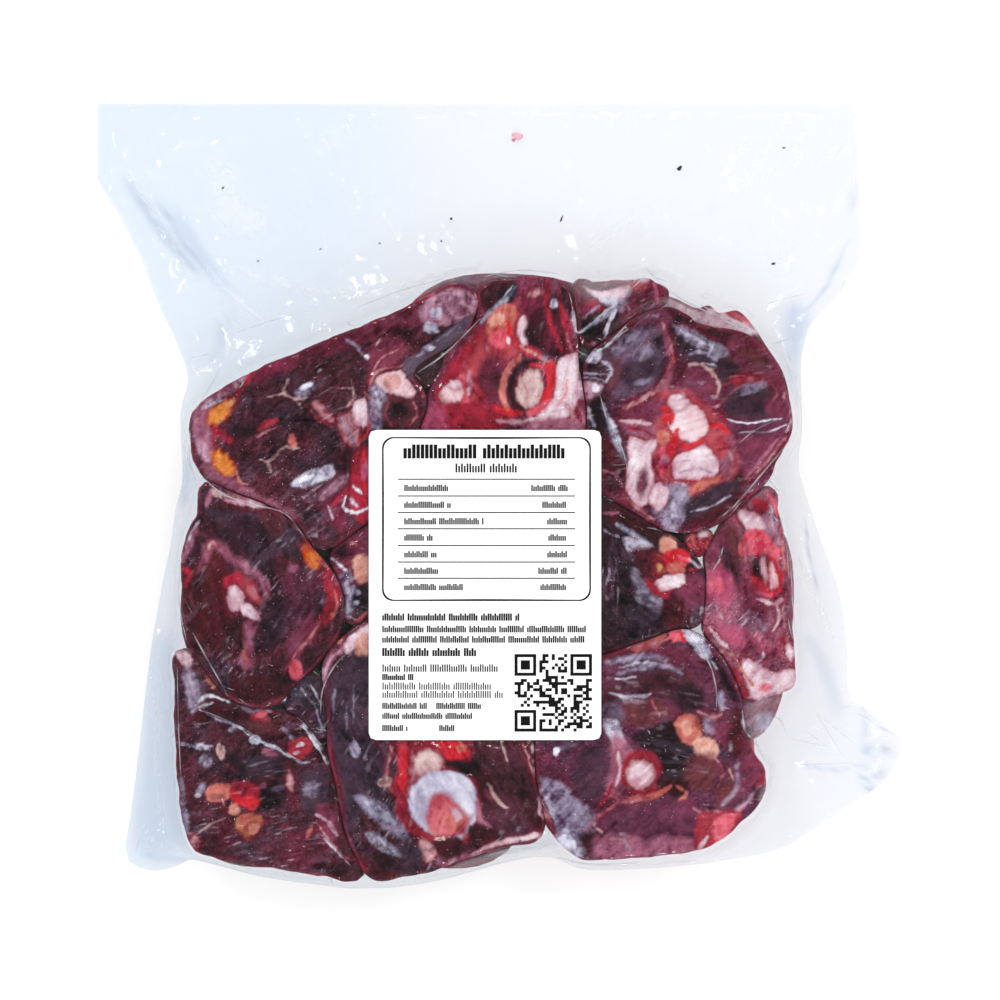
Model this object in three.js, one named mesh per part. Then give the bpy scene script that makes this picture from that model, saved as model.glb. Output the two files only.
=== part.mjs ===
// A clear vacuum pouch of frozen mutton neck chops, lying flat, with a white paper label stuck on top.
// Millimetres, +Z up. X runs across the pouch and Y towards its open, sealed end.
// The pouch is one solid: its skin pulled tight over the chops, its loose film lying out around them.
import * as THREE from "three";
import { mergeVertices } from "three/addons/utils/BufferGeometryUtils.js";

// Driving dimensions
const chopEdgeRadius = 5;
const filmMargin = 1.2; // both walls of the loose film, taken together
const filmSag = 0.42; // how hard the vacuum pulls the film into a gap, as curvature per mm
const label = { width: 93, length: 124, thickness: 0.5, corner: 2.6, gap: 0.3, x: -6, y: -38, bed: 43.2, bow: 0.9 };

// Loose film: its height where it leaves the chops and where it lies out on the table
const loose = { low: 2.6, rise: 10, fall: 13, wave: 0.75, waveLength: 62 };

// Long folds in the loose film, each from one point to another, with its height and half width
const folds = [
  { from: [-152, 118], to: [-122, 58], height: 3.2, width: 5 },
  { from: [-134, 126], to: [-104, 66], height: 2.2, width: 4 },
  { from: [-70, 132], to: [-46, 84], height: 1.6, width: 5 },
  { from: [22, 134], to: [36, 96], height: 1.8, width: 5 },
  { from: [136, 116], to: [112, 76], height: 2.4, width: 5 },
  { from: [88, 130], to: [84, 88], height: 1.6, width: 6 },
  { from: [-142, -62], to: [-142, -138], height: 5.5, width: 7 },
  { from: [128, -34], to: [138, -86], height: 2.6, width: 5 },
  { from: [112, -132], to: [150, -104], height: 3.0, width: 6 },
];

// The pouch's edge seen from above, clockwise from its far left corner
const pouchEdge = [
  [-165, 158.5], [146.4, 158.5], [147.6, 123], [147.2, 94], [140.6, 82], [127.5, 68], [123.6, 56], [122.8, 43],
  [122.6, 25], [122, 10], [124.6, 0], [131.2, -20], [139, -42], [142.3, -65], [143.5, -85], [149.8, -89],
  [164.6, -103], [161.2, -114], [157.4, -119.6], [143.5, -129], [129.2, -138.6], [114.8, -146.8], [100.5, -150],
  [82, -152.4], [57.4, -154], [32.8, -154], [21.7, -149.6], [0, -152], [-24.6, -158.7], [-49.2, -161.5],
  [-70, -160.7], [-98.4, -157], [-117, -151.5], [-126, -150.6], [-133.3, -154.2], [-142.7, -155.8], [-151.7, -152.5],
  [-153.3, -146], [-151.3, -133], [-148, -109], [-143.5, -72], [-138.2, -39], [-134.2, -22], [-132.6, -8],
  [-129.6, 4], [-129.4, 20], [-129.8, 34], [-127.6, 46], [-132.8, 61], [-139.4, 75], [-148.8, 98], [-157.4, 115],
  [-162.4, 123], [-165, 127],
];
const sharpEdgePoints = 2; // the two far corners are cut square, the rest of the edge is a smooth line

// The upper chops, each with its outline, its height at its middle and how it leans along X and Y
const upperChops = [
  { name: "upper left", height: 41.6, lean: [0.012, 0.01], outline: [
    [-123.6, 31], [-102.8, 45.6], [-80, 56], [-48, 68.8], [-19.2, 81.6], [-10.6, 77.6], [-14, 66], [-29, 55.4],
    [-36, 44.8], [-32.4, 36.8], [-38, 18], [-48, -6], [-71.2, -22], [-79, -13], [-91, -4.6], [-106, 1], [-118.8, 7.6],
    [-124, 18.8]] },
  { name: "upper middle", height: 41.8, lean: [0, -0.01], outline: [
    [-8, 78], [4, 84], [18, 85], [26, 79], [29, 68], [28.4, 48], [31.4, 26], [26, 8], [8, -3], [-18, -0.8],
    [-31, 14], [-26, 32], [-24.6, 42], [-17.6, 55], [-8, 66]] },
  { name: "upper right", height: 43, lean: [0.014, 0.004], outline: [
    [40, 56], [48.8, 64.8], [60, 71.4], [72, 70.2], [82, 65.6], [96.8, 63.2], [106.4, 57.2], [112.8, 47.2],
    [115.6, 36.8], [117.6, 26], [114, 16.8], [107.2, 8], [99.2, -0.4], [91.2, -7.4], [80, -16], [68.8, -14.6],
    [56, -8], [42.4, 1], [36.8, 14], [38, 32], [36.8, 46]] },
  { name: "middle left", height: 42.4, lean: [0.006, -0.012], outline: [
    [-117.6, 0.6], [-106, -3.4], [-92.8, -8.8], [-82, -17], [-75.2, -28], [-67.2, -36], [-64, -45], [-66.6, -56],
    [-73.6, -65], [-79.6, -74], [-86, -80.8], [-95.2, -84.6], [-105.6, -82.6], [-114.4, -73.6], [-121.2, -63],
    [-126, -52.4], [-127.6, -40], [-128, -28], [-124.8, -16], [-120.6, -6.6]] },
  { name: "lower left", height: 38.6, lean: [0.004, -0.01], outline: [
    [-129, -67], [-123.6, -68], [-115, -81], [-104, -88.4], [-92, -91], [-78.6, -94.4], [-72.6, -104], [-69.4, -114],
    [-67, -125], [-64.6, -137], [-57, -154], [-68, -155], [-86, -152.8], [-106, -149], [-122.6, -145], [-127, -134],
    [-129.4, -116], [-130.8, -92], [-131, -80]] },
  { name: "lower middle", height: 41.6, lean: [-0.006, 0.004], outline: [
    [-53.6, -55.6], [-62, -62], [-68.4, -70], [-71, -82], [-68.2, -100], [-64, -116], [-60.8, -134], [-57.6, -144],
    [-50, -154.6], [-40, -155], [-24, -151.6], [-14, -148], [0, -144], [14, -139], [15.6, -130], [12.6, -116],
    [11.4, -102], [9.6, -80], [-4, -60.6], [-28, -50], [-42, -50]] },
  { name: "lower right", height: 42.2, lean: [0.004, -0.004], outline: [
    [42, -68], [60, -61.6], [72.8, -57.6], [81.2, -62], [88.6, -70.6], [93, -80], [96.4, -92], [101, -104],
    [106, -113], [105, -124], [96.8, -132.6], [86.4, -141.6], [76, -145.4], [60, -147], [40, -148.2], [30.4, -147],
    [24.6, -139.2], [19.4, -128.8], [16.6, -116], [16.4, -100], [21.4, -84], [30.4, -73]] },
  { name: "middle right", height: 38.4, lean: [-0.03, -0.01], outline: [
    [101.4, -5.6], [107.6, -1.4], [111.4, -6.6], [114, -20], [116.4, -40], [118, -64], [118, -79], [110, -82],
    [100.4, -82.6], [95.8, -72.8], [89.8, -63.4], [84, -55.4], [84.2, -44], [84.8, -33], [83.6, -25], [92.6, -13.4]] },
  { name: "centre right", height: 39.4, lean: [-0.01, 0], outline: [
    [42, -4.8], [55, -12.4], [66, -19.4], [77.4, -26], [80, -34], [80.4, -44], [78.4, -53], [69, -54.4], [60, -57.8],
    [42, -64], [24, -66], [14.6, -44], [17.6, -16], [30, -6]] },
  { name: "centre left", height: 39, lean: [0.01, 0], outline: [
    [-66, -25.4], [-54, -15.4], [-40, -8], [-18, -6.2], [6, -8.6], [12, -20], [10.8, -44], [4, -55], [-8, -54],
    [-28, -44.6], [-44, -44.8], [-55, -50], [-60.4, -52], [-60.6, -44], [-63.6, -34]] },
];

// The lower chops: rounded-off ovals with uneven sides. half is the half length and half width, turn is in degrees
const lowerChops = [
  { name: "under upper left", at: [-82, 33], half: [42, 29], turn: 23, height: 21 },
  { name: "under upper middle", at: [4, 49], half: [46, 38], turn: -4, height: 27 },
  { name: "under upper right", at: [80, 41], half: [37, 42], turn: 14, height: 26 },
  { name: "under middle left", at: [-93, -46], half: [35, 36], turn: 0, height: 21 },
  { name: "under centre left", at: [-22, -30], half: [32, 37], turn: 0, height: 21 },
  { name: "under centre right", at: [47, -36], half: [32, 32], turn: 0, height: 21 },
  { name: "under middle right", at: [101.4, -56], half: [16.4, 46], turn: -3, height: 25 },
  { name: "under lower left", at: [-95, -119], half: [34, 33], turn: -6, height: 21 },
  { name: "under lower middle", at: [-22, -112], half: [36, 41], turn: -6, height: 21 },
  { name: "under lower right", at: [62, -108], half: [43, 37.4], turn: 6, height: 23 },
];
const ovalPoints = 40;

// A closed smooth line through an outline's points
function smoothOutline(points, perSpan) {
  const curve = new THREE.CatmullRomCurve3(points.map(([x, y]) => new THREE.Vector3(x, y, 0)), true, "centripetal");
  return curve.getPoints(points.length * perSpan).slice(0, -1).map((p) => [p.x, p.y]);
}

// An oval between an ellipse and a rectangle, with two and three soft lumps round its edge
function ovalOutline({ at, half, turn }) {
  const squareness = 2.7;
  const [cos, sin] = [Math.cos(THREE.MathUtils.degToRad(turn)), Math.sin(THREE.MathUtils.degToRad(turn))];
  return Array.from({ length: ovalPoints }, (_, i) => {
    const a = (i / ovalPoints) * 2 * Math.PI;
    const lumps = 1 + 0.03 * Math.sin(2 * a + at[0]) + 0.022 * Math.sin(3 * a + at[1]);
    const reach = lumps * (Math.abs(Math.cos(a)) ** squareness + Math.abs(Math.sin(a)) ** squareness) ** (-1 / squareness);
    const [u, v] = [half[0] * reach * Math.cos(a), half[1] * reach * Math.sin(a)];
    return [at[0] + u * cos - v * sin, at[1] + u * sin + v * cos];
  });
}

// Distance from a point to an outline, positive inside it
function depthInside(outline, x, y) {
  let inside = false;
  let nearest = Infinity;
  for (let i = 0, j = outline.length - 1; i < outline.length; j = i, i += 1) {
    const [ax, ay] = outline[i];
    const [bx, by] = outline[j];
    if (ay > y !== by > y && x < ((bx - ax) * (y - ay)) / (by - ay) + ax) inside = !inside;
    const [dx, dy] = [bx - ax, by - ay];
    const t = THREE.MathUtils.clamp(((x - ax) * dx + (y - ay) * dy) / (dx * dx + dy * dy), 0, 1);
    nearest = Math.min(nearest, Math.hypot(x - ax - t * dx, y - ay - t * dy));
  }
  return inside ? nearest : -nearest;
}

// How far a chop's top falls away near its edge, as a quarter round
function edgeDrop(depth) {
  if (depth >= chopEdgeRadius) return 0;
  const inward = chopEdgeRadius - depth;
  return chopEdgeRadius - Math.sqrt(chopEdgeRadius ** 2 - inward ** 2);
}

const outlinePerSpan = 3;
const chops = [
  ...upperChops.map((chop) => ({ ...chop, edge: smoothOutline(chop.outline, outlinePerSpan) })),
  ...lowerChops.map((chop) => ({ ...chop, lean: [0, 0], edge: ovalOutline(chop) })),
].map((chop) => {
  const middle = chop.edge.reduce(([sx, sy], [x, y]) => [sx + x / chop.edge.length, sy + y / chop.edge.length], [0, 0]);
  return { ...chop, middle };
});

// Height of a fold's crest over the flat film at a point
function foldHeight({ from, to, height, width }, x, y) {
  const [dx, dy] = [to[0] - from[0], to[1] - from[1]];
  const along = THREE.MathUtils.clamp(((x - from[0]) * dx + (y - from[1]) * dy) / (dx * dx + dy * dy), 0, 1);
  const off = Math.hypot(x - from[0] - along * dx, y - from[1] - along * dy);
  return height * Math.exp(-((off / width) ** 2));
}

// The loose film's top, which droops from the chops' sides to the table in slow waves
function looseHeight(x, y, outside) {
  const k = (2 * Math.PI) / loose.waveLength;
  const wave = Math.sin(k * x + 1.3 * Math.sin(k * 0.6 * y)) * Math.cos(k * 0.8 * y + 0.5);
  const free = 1 - Math.exp(-outside / loose.fall);
  const raised = folds.reduce((sum, fold) => sum + foldHeight(fold, x, y), 0);
  return loose.low + loose.rise * (1 - free) + free * (loose.wave * wave + raised);
}

// The label's bed: the skin drawn flat under the paper, bowed a little across
function labelBed(x) {
  const across = (x - label.x) / (label.width / 2);
  return label.bed - label.bow * across * across;
}

// The skin's height over a square grid: a tight film that rests on the chops and sags between them
const raster = { step: 2, x0: -172, y0: -170, columns: 172, rows: 168 };

function skinHeights() {
  const { step, x0, y0, columns, rows } = raster;
  const rest = new Float64Array(columns * rows);
  const outside = new Float64Array(columns * rows);
  const bedMargin = 7;
  for (let j = 0; j < rows; j += 1) {
    for (let i = 0; i < columns; i += 1) {
      const [x, y] = [x0 + i * step, y0 + j * step];
      const depths = chops.map((chop) => depthInside(chop.edge, x, y));
      const away = Math.max(0, -Math.max(...depths));
      let top = looseHeight(x, y, away);
      chops.forEach((chop, n) => {
        if (depths[n] <= 0) return;
        const leaning = chop.lean[0] * (x - chop.middle[0]) + chop.lean[1] * (y - chop.middle[1]);
        top = Math.max(top, chop.height + leaning - edgeDrop(depths[n]));
      });
      const underLabel = Math.abs(x - label.x) < label.width / 2 + bedMargin && Math.abs(y - label.y) < label.length / 2 + bedMargin;
      rest[j * columns + i] = underLabel ? labelBed(x) : top;
      outside[j * columns + i] = away;
    }
  }
  const height = rest.slice();
  const rounds = 700;
  const pull = (filmSag * step * step) / 4;
  for (let round = 0; round < rounds; round += 1) {
    for (let j = 1; j < rows - 1; j += 1) {
      for (let i = 1; i < columns - 1; i += 1) {
        const n = j * columns + i;
        const level = (height[n - 1] + height[n + 1] + height[n - columns] + height[n + columns]) / 4;
        height[n] = Math.max(rest[n], level - pull);
      }
    }
  }
  return { height: softened(height), outside };
}

// A grid with each value averaged with its neighbours, which rounds the film's creases to what the mesh can carry
function softened(field) {
  const { columns, rows } = raster;
  const passes = 3;
  let soft = field;
  for (let pass = 0; pass < passes; pass += 1) {
    soft = soft.map((value, n) => {
      const [i, j] = [n % columns, Math.floor(n / columns)];
      if (i === 0 || j === 0 || i === columns - 1 || j === rows - 1) return value;
      return value / 2 + (soft[n - 1] + soft[n + 1] + soft[n - columns] + soft[n + columns]) / 8;
    });
  }
  return soft;
}

const skin = skinHeights();

// A grid's value between its points
function sample(field, x, y) {
  const { step, x0, y0, columns, rows } = raster;
  const u = THREE.MathUtils.clamp((x - x0) / step, 0, columns - 1.001);
  const v = THREE.MathUtils.clamp((y - y0) / step, 0, rows - 1.001);
  const [i, j] = [Math.floor(u), Math.floor(v)];
  const [s, t] = [u - i, v - j];
  const n = j * columns + i;
  const near = field[n] * (1 - s) + field[n + 1] * s;
  const far = field[n + columns] * (1 - s) + field[n + columns + 1] * s;
  return near * (1 - t) + far * t;
}

// Points spaced evenly along a closed line, starting where it crosses the ray at startAngle from the middle
function evenPoints(line, count, centre, startAngle) {
  const angleOf = ([x, y]) => Math.atan2(y - centre[1], x - centre[0]);
  const away = (p) => Math.abs(THREE.MathUtils.euclideanModulo(angleOf(p) - startAngle + Math.PI, 2 * Math.PI) - Math.PI);
  const start = line.reduce((best, p, i) => (away(p) < away(line[best]) ? i : best), 0);
  const turned = [...line.slice(start), ...line.slice(0, start + 1)];
  const lengths = turned.slice(1).map(([x, y], i) => Math.hypot(x - turned[i][0], y - turned[i][1]));
  const total = lengths.reduce((a, b) => a + b, 0);
  const points = [];
  let span = 0;
  let before = 0;
  for (let k = 0; k < count; k += 1) {
    const want = (k / count) * total;
    while (before + lengths[span] < want) {
      before += lengths[span];
      span += 1;
    }
    const t = (want - before) / lengths[span];
    const [a, b] = [turned[span], turned[span + 1]];
    points.push([a[0] + t * (b[0] - a[0]), a[1] + t * (b[1] - a[1])]);
  }
  return points;
}

// Where a ray from the middle leaves the chops for good
function chopsReach(centre, angle) {
  const [cos, sin] = [Math.cos(angle), Math.sin(angle)];
  const [farthest, stride] = [210, 0.5];
  for (let r = farthest; r > 0; r -= stride) {
    const [x, y] = [centre[0] + r * cos, centre[1] + r * sin];
    if (chops.some((chop) => depthInside(chop.edge, x, y) > 0)) return r;
  }
  return 0;
}

// The chops' outline as one line: the film bridges the narrow notches between two chops
function bridged(reaches) {
  const bridge = 3;
  const near = (values, n, reach) => Array.from({ length: 2 * reach + 1 }, (_, k) => values.at((n + k - reach) % values.length));
  const widest = reaches.map((_, n) => Math.max(...near(reaches, n, bridge)));
  const closed = widest.map((_, n) => Math.min(...near(widest, n, bridge)));
  return closed.map((_, n) => near(closed, n, 1).reduce((sum, r, k) => sum + r * [0.25, 0.5, 0.25][k], 0));
}

// The pouch's rim: square far corners, smooth elsewhere
function pouchRim() {
  const smooth = smoothOutline(pouchEdge, 6);
  const perSpan = smooth.length / pouchEdge.length;
  const farEdge = pouchEdge.slice(0, sharpEdgePoints);
  return [...farEdge, ...smooth.slice(sharpEdgePoints * perSpan, (pouchEdge.length - 1) * perSpan + 1)];
}

// The pouch as one solid: a four-sided patch over the chops, then rings out to the rim, and the same rings below
function pouchGeometry() {
  const centre = [-6, -34];
  const side = 44;
  const around = 4 * side;
  const startAngle = THREE.MathUtils.degToRad(145);
  const rim = evenPoints(pouchRim(), around, centre, startAngle);
  const leastFilm = 4;
  const angles = rim.map(([x, y]) => Math.atan2(y - centre[1], x - centre[0]));
  const block = bridged(angles.map((angle) => chopsReach(centre, angle))).map((reach, n) => {
    const r = Math.min(reach, Math.hypot(rim[n][0] - centre[0], rim[n][1] - centre[1]) - leastFilm);
    return [centre[0] + r * Math.cos(angles[n]), centre[1] + r * Math.sin(angles[n])];
  });
  const wallSteps = [2, 4.5, 8, 13]; // rings close to the chops, where the skin falls away
  const wallShares = [0.22, 0.42, 0.6, 0.74]; // and the most of the way out that each may take
  const outerRings = 4;

  const positions = [];
  const triangles = [];
  const put = (x, y, z) => positions.push(x, y, z) / 3 - 1;
  const topAt = (x, y) => sample(skin.height, x, y);

  // The patch over the chops: each point blends the four sides of the block's outline
  const patch = [];
  const at = (n) => block[((n % around) + around) % around];
  for (let j = 0; j <= side; j += 1) {
    patch.push([]);
    for (let i = 0; i <= side; i += 1) {
      const [s, t] = [i / side, j / side];
      const [far, near, left, right] = [at(i), at(3 * side - i), at(around - j), at(side + j)];
      const corner = (n) => at(n * side);
      const point = [0, 1].map((c) =>
        (1 - t) * far[c] + t * near[c] + (1 - s) * left[c] + s * right[c] -
        ((1 - s) * (1 - t) * corner(0)[c] + s * (1 - t) * corner(1)[c] + s * t * corner(2)[c] + (1 - s) * t * corner(3)[c]));
      patch[j].push(put(point[0], point[1], topAt(point[0], point[1])));
    }
  }
  const place = (n) => [positions[3 * n], positions[3 * n + 1], positions[3 * n + 2]];
  const creaseError = (p, q) => {
    const [[px, py, pz], [qx, qy, qz]] = [place(p), place(q)];
    return Math.abs(topAt((px + qx) / 2, (py + qy) / 2) - (pz + qz) / 2);
  };
  for (let j = 0; j < side; j += 1) {
    for (let i = 0; i < side; i += 1) {
      const [a, b, c, d] = [patch[j][i], patch[j][i + 1], patch[j + 1][i + 1], patch[j + 1][i]];
      const alongBd = creaseError(b, d) < creaseError(a, c); // each cell splits along its truer diagonal
      triangles.push(...(alongBd ? [a, d, b, b, d, c] : [a, d, c, a, c, b]));
    }
  }
  const border = Array.from({ length: around }, (_, n) => {
    const [edge, step] = [Math.floor(n / side), n % side];
    return [patch[0][step], patch[step]?.[side], patch[side][side - step], patch[side - step]?.[0]][edge];
  });

  // Where each ring lies along the line from the block to the rim
  const ringPoint = (n, ring) => {
    const width = Math.hypot(rim[n][0] - block[n][0], rim[n][1] - block[n][1]);
    const walls = wallSteps.map((step, w) => Math.min(step / width, wallShares[w]));
    const last = walls[walls.length - 1];
    const share = ring < walls.length ? walls[ring] : last + ((1 - last) * (ring - walls.length + 1)) / outerRings;
    return [block[n][0] + share * (rim[n][0] - block[n][0]), block[n][1] + share * (rim[n][1] - block[n][1])];
  };
  const ringCount = wallSteps.length + outerRings;
  const band = (inner, outer, flip) => {
    for (let n = 0; n < around; n += 1) {
      const m = (n + 1) % around;
      const faces = [inner[n], inner[m], outer[n], inner[m], outer[m], outer[n]];
      triangles.push(...(flip ? faces.reverse() : faces));
    }
  };

  let above = border;
  for (let ring = 0; ring < ringCount; ring += 1) {
    const outer = rim.map((_, n) => {
      const [x, y] = ringPoint(n, ring);
      return put(x, y, topAt(x, y));
    });
    band(above, outer, false);
    above = outer;
  }

  // Below: flat where it rests, then up the chops' sides to the loose film
  const footInset = 5;
  const sideHeight = 5.5;
  const foot = block.map(([x, y]) => {
    const r = Math.hypot(x - centre[0], y - centre[1]);
    const share = (r - footInset) / r;
    return put(centre[0] + share * (x - centre[0]), centre[1] + share * (y - centre[1]), 0);
  });
  const footShape = foot.map((n) => new THREE.Vector2(positions[3 * n], positions[3 * n + 1]));
  THREE.ShapeUtils.triangulateShape(footShape, []).forEach(([a, b, c]) => {
    const area = (footShape[b].x - footShape[a].x) * (footShape[c].y - footShape[a].y) -
      (footShape[c].x - footShape[a].x) * (footShape[b].y - footShape[a].y);
    triangles.push(...(area > 0 ? [foot[a], foot[c], foot[b]] : [foot[a], foot[b], foot[c]]));
  });
  let below = foot;
  for (let ring = -1; ring < ringCount; ring += 1) {
    const outer = rim.map((_, n) => {
      const [x, y] = ring < 0 ? block[n] : ringPoint(n, ring);
      const underTop = topAt(x, y) - filmMargin;
      const away = sample(skin.outside, x, y);
      const under = looseHeight(x, y, away) - filmMargin;
      return put(x, y, ring < 0 ? sideHeight : Math.min(underTop, under));
    });
    band(below, outer, true);
    below = outer;
  }
  band(above, below, false);

  const geometry = new THREE.BufferGeometry();
  geometry.setAttribute("position", new THREE.Float32BufferAttribute(positions, 3));
  geometry.setIndex(triangles);
  return mergeVertices(geometry, 1e-4);
}

// A point of the unit square carried onto a square with round corners, where reach is the corner's share of each side
function roundCorner(u, v, reachU, reachV) {
  const [a, b] = [(Math.abs(u) - 1 + reachU) / reachU, (Math.abs(v) - 1 + reachV) / reachV];
  if (a <= 0 || b <= 0) return [u, v];
  const angle = a >= b ? (Math.PI / 4) * (b / a) : Math.PI / 2 - (Math.PI / 4) * (a / b);
  const r = Math.max(a, b);
  return [Math.sign(u) * (1 - reachU + reachU * r * Math.cos(angle)), Math.sign(v) * (1 - reachV + reachV * r * Math.sin(angle))];
}

// The paper label: a thin sheet with round corners that follows its bed
function labelGeometry() {
  const [halfWidth, halfLength] = [label.width / 2, label.length / 2];
  const lines = (half, inner) => {
    const near = [0, 0.5, 1].map((s) => (s * label.corner) / half);
    const middle = Array.from({ length: inner + 1 }, (_, i) => -1 + near[2] + ((2 - 2 * near[2]) * i) / inner);
    return [...near.slice(0, 2).map((s) => s - 1), ...middle, ...near.slice(0, 2).reverse().map((s) => 1 - s)];
  };
  const [us, vs] = [lines(halfWidth, 8), lines(halfLength, 6)];
  const positions = [];
  const triangles = [];
  const [columns, rows] = [us.length, vs.length];
  [label.gap, label.gap + label.thickness].forEach((lift) => {
    vs.forEach((v) => us.forEach((u) => {
      const [s, t] = roundCorner(u, v, label.corner / halfWidth, label.corner / halfLength);
      const [x, y] = [label.x + s * halfWidth, label.y + t * halfLength];
      positions.push(x, y, labelBed(x) + lift);
    }));
  });
  const layer = columns * rows;
  for (let j = 0; j < rows - 1; j += 1) {
    for (let i = 0; i < columns - 1; i += 1) {
      const a = j * columns + i;
      const [b, c, d] = [a + 1, a + columns + 1, a + columns];
      triangles.push(a, c, b, a, d, c, layer + a, layer + b, layer + c, layer + a, layer + c, layer + d);
    }
  }
  const loop = [
    ...us.map((_, i) => i),
    ...vs.slice(1).map((_, j) => (j + 1) * columns + columns - 1),
    ...us.slice(1).map((_, i) => rows * columns - 2 - i),
    ...vs.slice(2).map((_, j) => (rows - 2 - j) * columns),
  ];
  loop.forEach((a, n) => {
    const b = loop[(n + 1) % loop.length];
    triangles.push(a, b, layer + b, a, layer + b, layer + a);
  });
  const geometry = new THREE.BufferGeometry();
  geometry.setAttribute("position", new THREE.Float32BufferAttribute(positions, 3));
  geometry.setIndex(triangles);
  return geometry;
}

const group = new THREE.Group();

const pouch = new THREE.Mesh(pouchGeometry(), new THREE.MeshStandardMaterial({ color: 0x5c2b39, roughness: 0.3, metalness: 0 }));
pouch.name = "filled_pouch";
group.add(pouch);

const paper = new THREE.Mesh(labelGeometry(), new THREE.MeshStandardMaterial({ color: 0xfafafa, roughness: 0.6, metalness: 0 }));
paper.name = "label";
group.add(paper);

// The origin stands under the middle of the pouch
pouch.geometry.computeBoundingBox();
const middle = pouch.geometry.boundingBox.getCenter(new THREE.Vector3());
[pouch, paper].forEach((mesh) => mesh.position.set(-middle.x, -middle.y, 0));

export default group;
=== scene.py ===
# A clear vacuum pouch of frozen mutton neck chops, lying flat, with a printed paper label on top.
# Shapes are drawn in millimetres, X across the pouch and Y towards its sealed edge, and made in metres.
import math

import bpy
import numpy as np
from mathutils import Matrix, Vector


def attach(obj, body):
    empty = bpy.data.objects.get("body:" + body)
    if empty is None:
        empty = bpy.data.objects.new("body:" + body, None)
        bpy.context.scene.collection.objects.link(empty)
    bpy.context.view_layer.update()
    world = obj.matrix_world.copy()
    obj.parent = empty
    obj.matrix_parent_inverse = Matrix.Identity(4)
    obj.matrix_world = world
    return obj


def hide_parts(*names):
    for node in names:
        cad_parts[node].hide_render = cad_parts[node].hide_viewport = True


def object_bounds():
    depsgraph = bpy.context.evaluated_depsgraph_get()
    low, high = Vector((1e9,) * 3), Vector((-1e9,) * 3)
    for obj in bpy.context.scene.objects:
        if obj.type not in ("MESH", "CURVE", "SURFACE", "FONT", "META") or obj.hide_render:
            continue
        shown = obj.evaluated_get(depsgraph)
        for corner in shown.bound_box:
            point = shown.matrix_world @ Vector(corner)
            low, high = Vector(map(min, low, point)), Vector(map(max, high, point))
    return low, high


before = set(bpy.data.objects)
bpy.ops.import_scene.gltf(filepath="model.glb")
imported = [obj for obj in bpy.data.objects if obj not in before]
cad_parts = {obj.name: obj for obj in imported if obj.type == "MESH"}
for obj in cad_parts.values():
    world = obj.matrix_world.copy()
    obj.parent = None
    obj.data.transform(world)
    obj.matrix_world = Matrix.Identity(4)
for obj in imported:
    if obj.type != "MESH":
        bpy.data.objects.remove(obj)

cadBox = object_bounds()  # the box of the solids, before any piece is added
mm = 0.001

# Colours of the tissues: the two that each is mottled with, how far it stands up in mm, its soft edge in mm
tissueColumns = ("dark", "light", "rise", "soft")
tissues = {name: dict(zip(tissueColumns, row)) for name, row in {
    "deep": ("#1d0b13", "#421f2e", -0.3, 1.6),
    "dark": ("#330f1a", "#5d2838", 0.0, 1.8),
    "greyDark": ("#2c1b27", "#4f3646", 0.0, 2.2),
    "greyBand": ("#4b3946", "#614f60", 0.2, 0.4),
    "blueGrey": ("#262a33", "#4f5a66", -0.2, 0.6),
    "grey": ("#3f2b3b", "#725c74", 0.0, 1.8),
    "mid": ("#5c1a30", "#8a3b56", 0.0, 2.2),
    "maroon": ("#470f20", "#7d2340", 0.0, 2.2),
    "redMuscle": ("#340911", "#5e1520", -0.1, 2.0),
    "deepRed": ("#260810", "#4c121d", -0.2, 1.0),
    "redBrown": ("#4c1a22", "#74353a", 0.1, 2.0),
    "purple": ("#49192f", "#743550", 0.1, 2.2),
    "wetRed": ("#8f2334", "#c55058", 0.1, 1.8),
    "crimson": ("#720a1e", "#b3223b", -0.1, 1.0),
    "red": ("#7d1626", "#b8303f", 0.0, 0.8),
    "blood": ("#a81220", "#dc2f33", -0.2, 0.6),
    "scarlet": ("#b0101e", "#e4303a", -0.1, 0.7),
    "coral": ("#c83c50", "#ef7683", 0.1, 0.6),
    "magenta": ("#a03a5c", "#c4607e", 0.1, 1.8),
    "pink": ("#8d4a5e", "#b9748a", 0.0, 0.8),
    "pinkMeat": ("#7b3a50", "#b26d83", 0.0, 1.8),
    "pinkFrost": ("#8f5a70", "#d0a6b6", 0.2, 1.0),
    "salmon": ("#a9463f", "#dd8577", 0.2, 0.6),
    "peach": ("#cc8473", "#e8b4a2", 0.3, 0.8),
    "orangeFat": ("#c9611f", "#eda04a", 0.9, 0.7),
    "orangeFlesh": ("#853730", "#bd6c4c", 0.5, 0.6),
    "yellowFat": ("#d5a774", "#e8c596", 0.5, 0.7),
    "fat": ("#cda3ae", "#f3e3e7", 0.4, 0.5),
    "pinkFat": ("#a3616a", "#d0a0a2", 0.25, 0.5),
    "sinew": ("#9c6c6c", "#cfaea8", 0.2, 0.4),
    "bone": ("#d6a4a9", "#f1dadc", 0.7, 0.5),
    "pinkBone": ("#b05c64", "#d88f8d", 0.4, 0.7),
    "vertebra": ("#bab3c8", "#e4dfe8", 0.8, 0.6),
    "marrow": ("#bd4b58", "#da8280", 0.5, 1.2),
    "cord": ("#c9a19e", "#e8cfca", 0.5, 0.6),
    # painted sheen of the film over the meat, with its milky haze
    "lilac": ("#71607a", "#b3a5ba", 0.2, 1.1),
    # frost on the meat, with a painted sheen of light on it
    "frost": ("#978ca4", "#d9d4e0", 0.3, 0.6),
    "frostGlaze": ("#858296", "#b0a9bb", 0.4, 0.8),
    # painted glints of the wet film, laid on ice
    "ice": ("#c9c7da", "#f6f4fa", 0.3, 0.4),
    # painted shade in holes and slits, which also sink a little
    "hole": ("#12070a", "#2f151d", -1.2, 1.1),
}.items()}


def linear(hexColour):  # sRGB hex to linear numbers
    channels = [int(hexColour[k : k + 2], 16) / 255 for k in (1, 3, 5)]
    return np.array([c / 12.92 if c <= 0.04045 else ((c + 0.055) / 1.055) ** 2.4 for c in channels])


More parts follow.
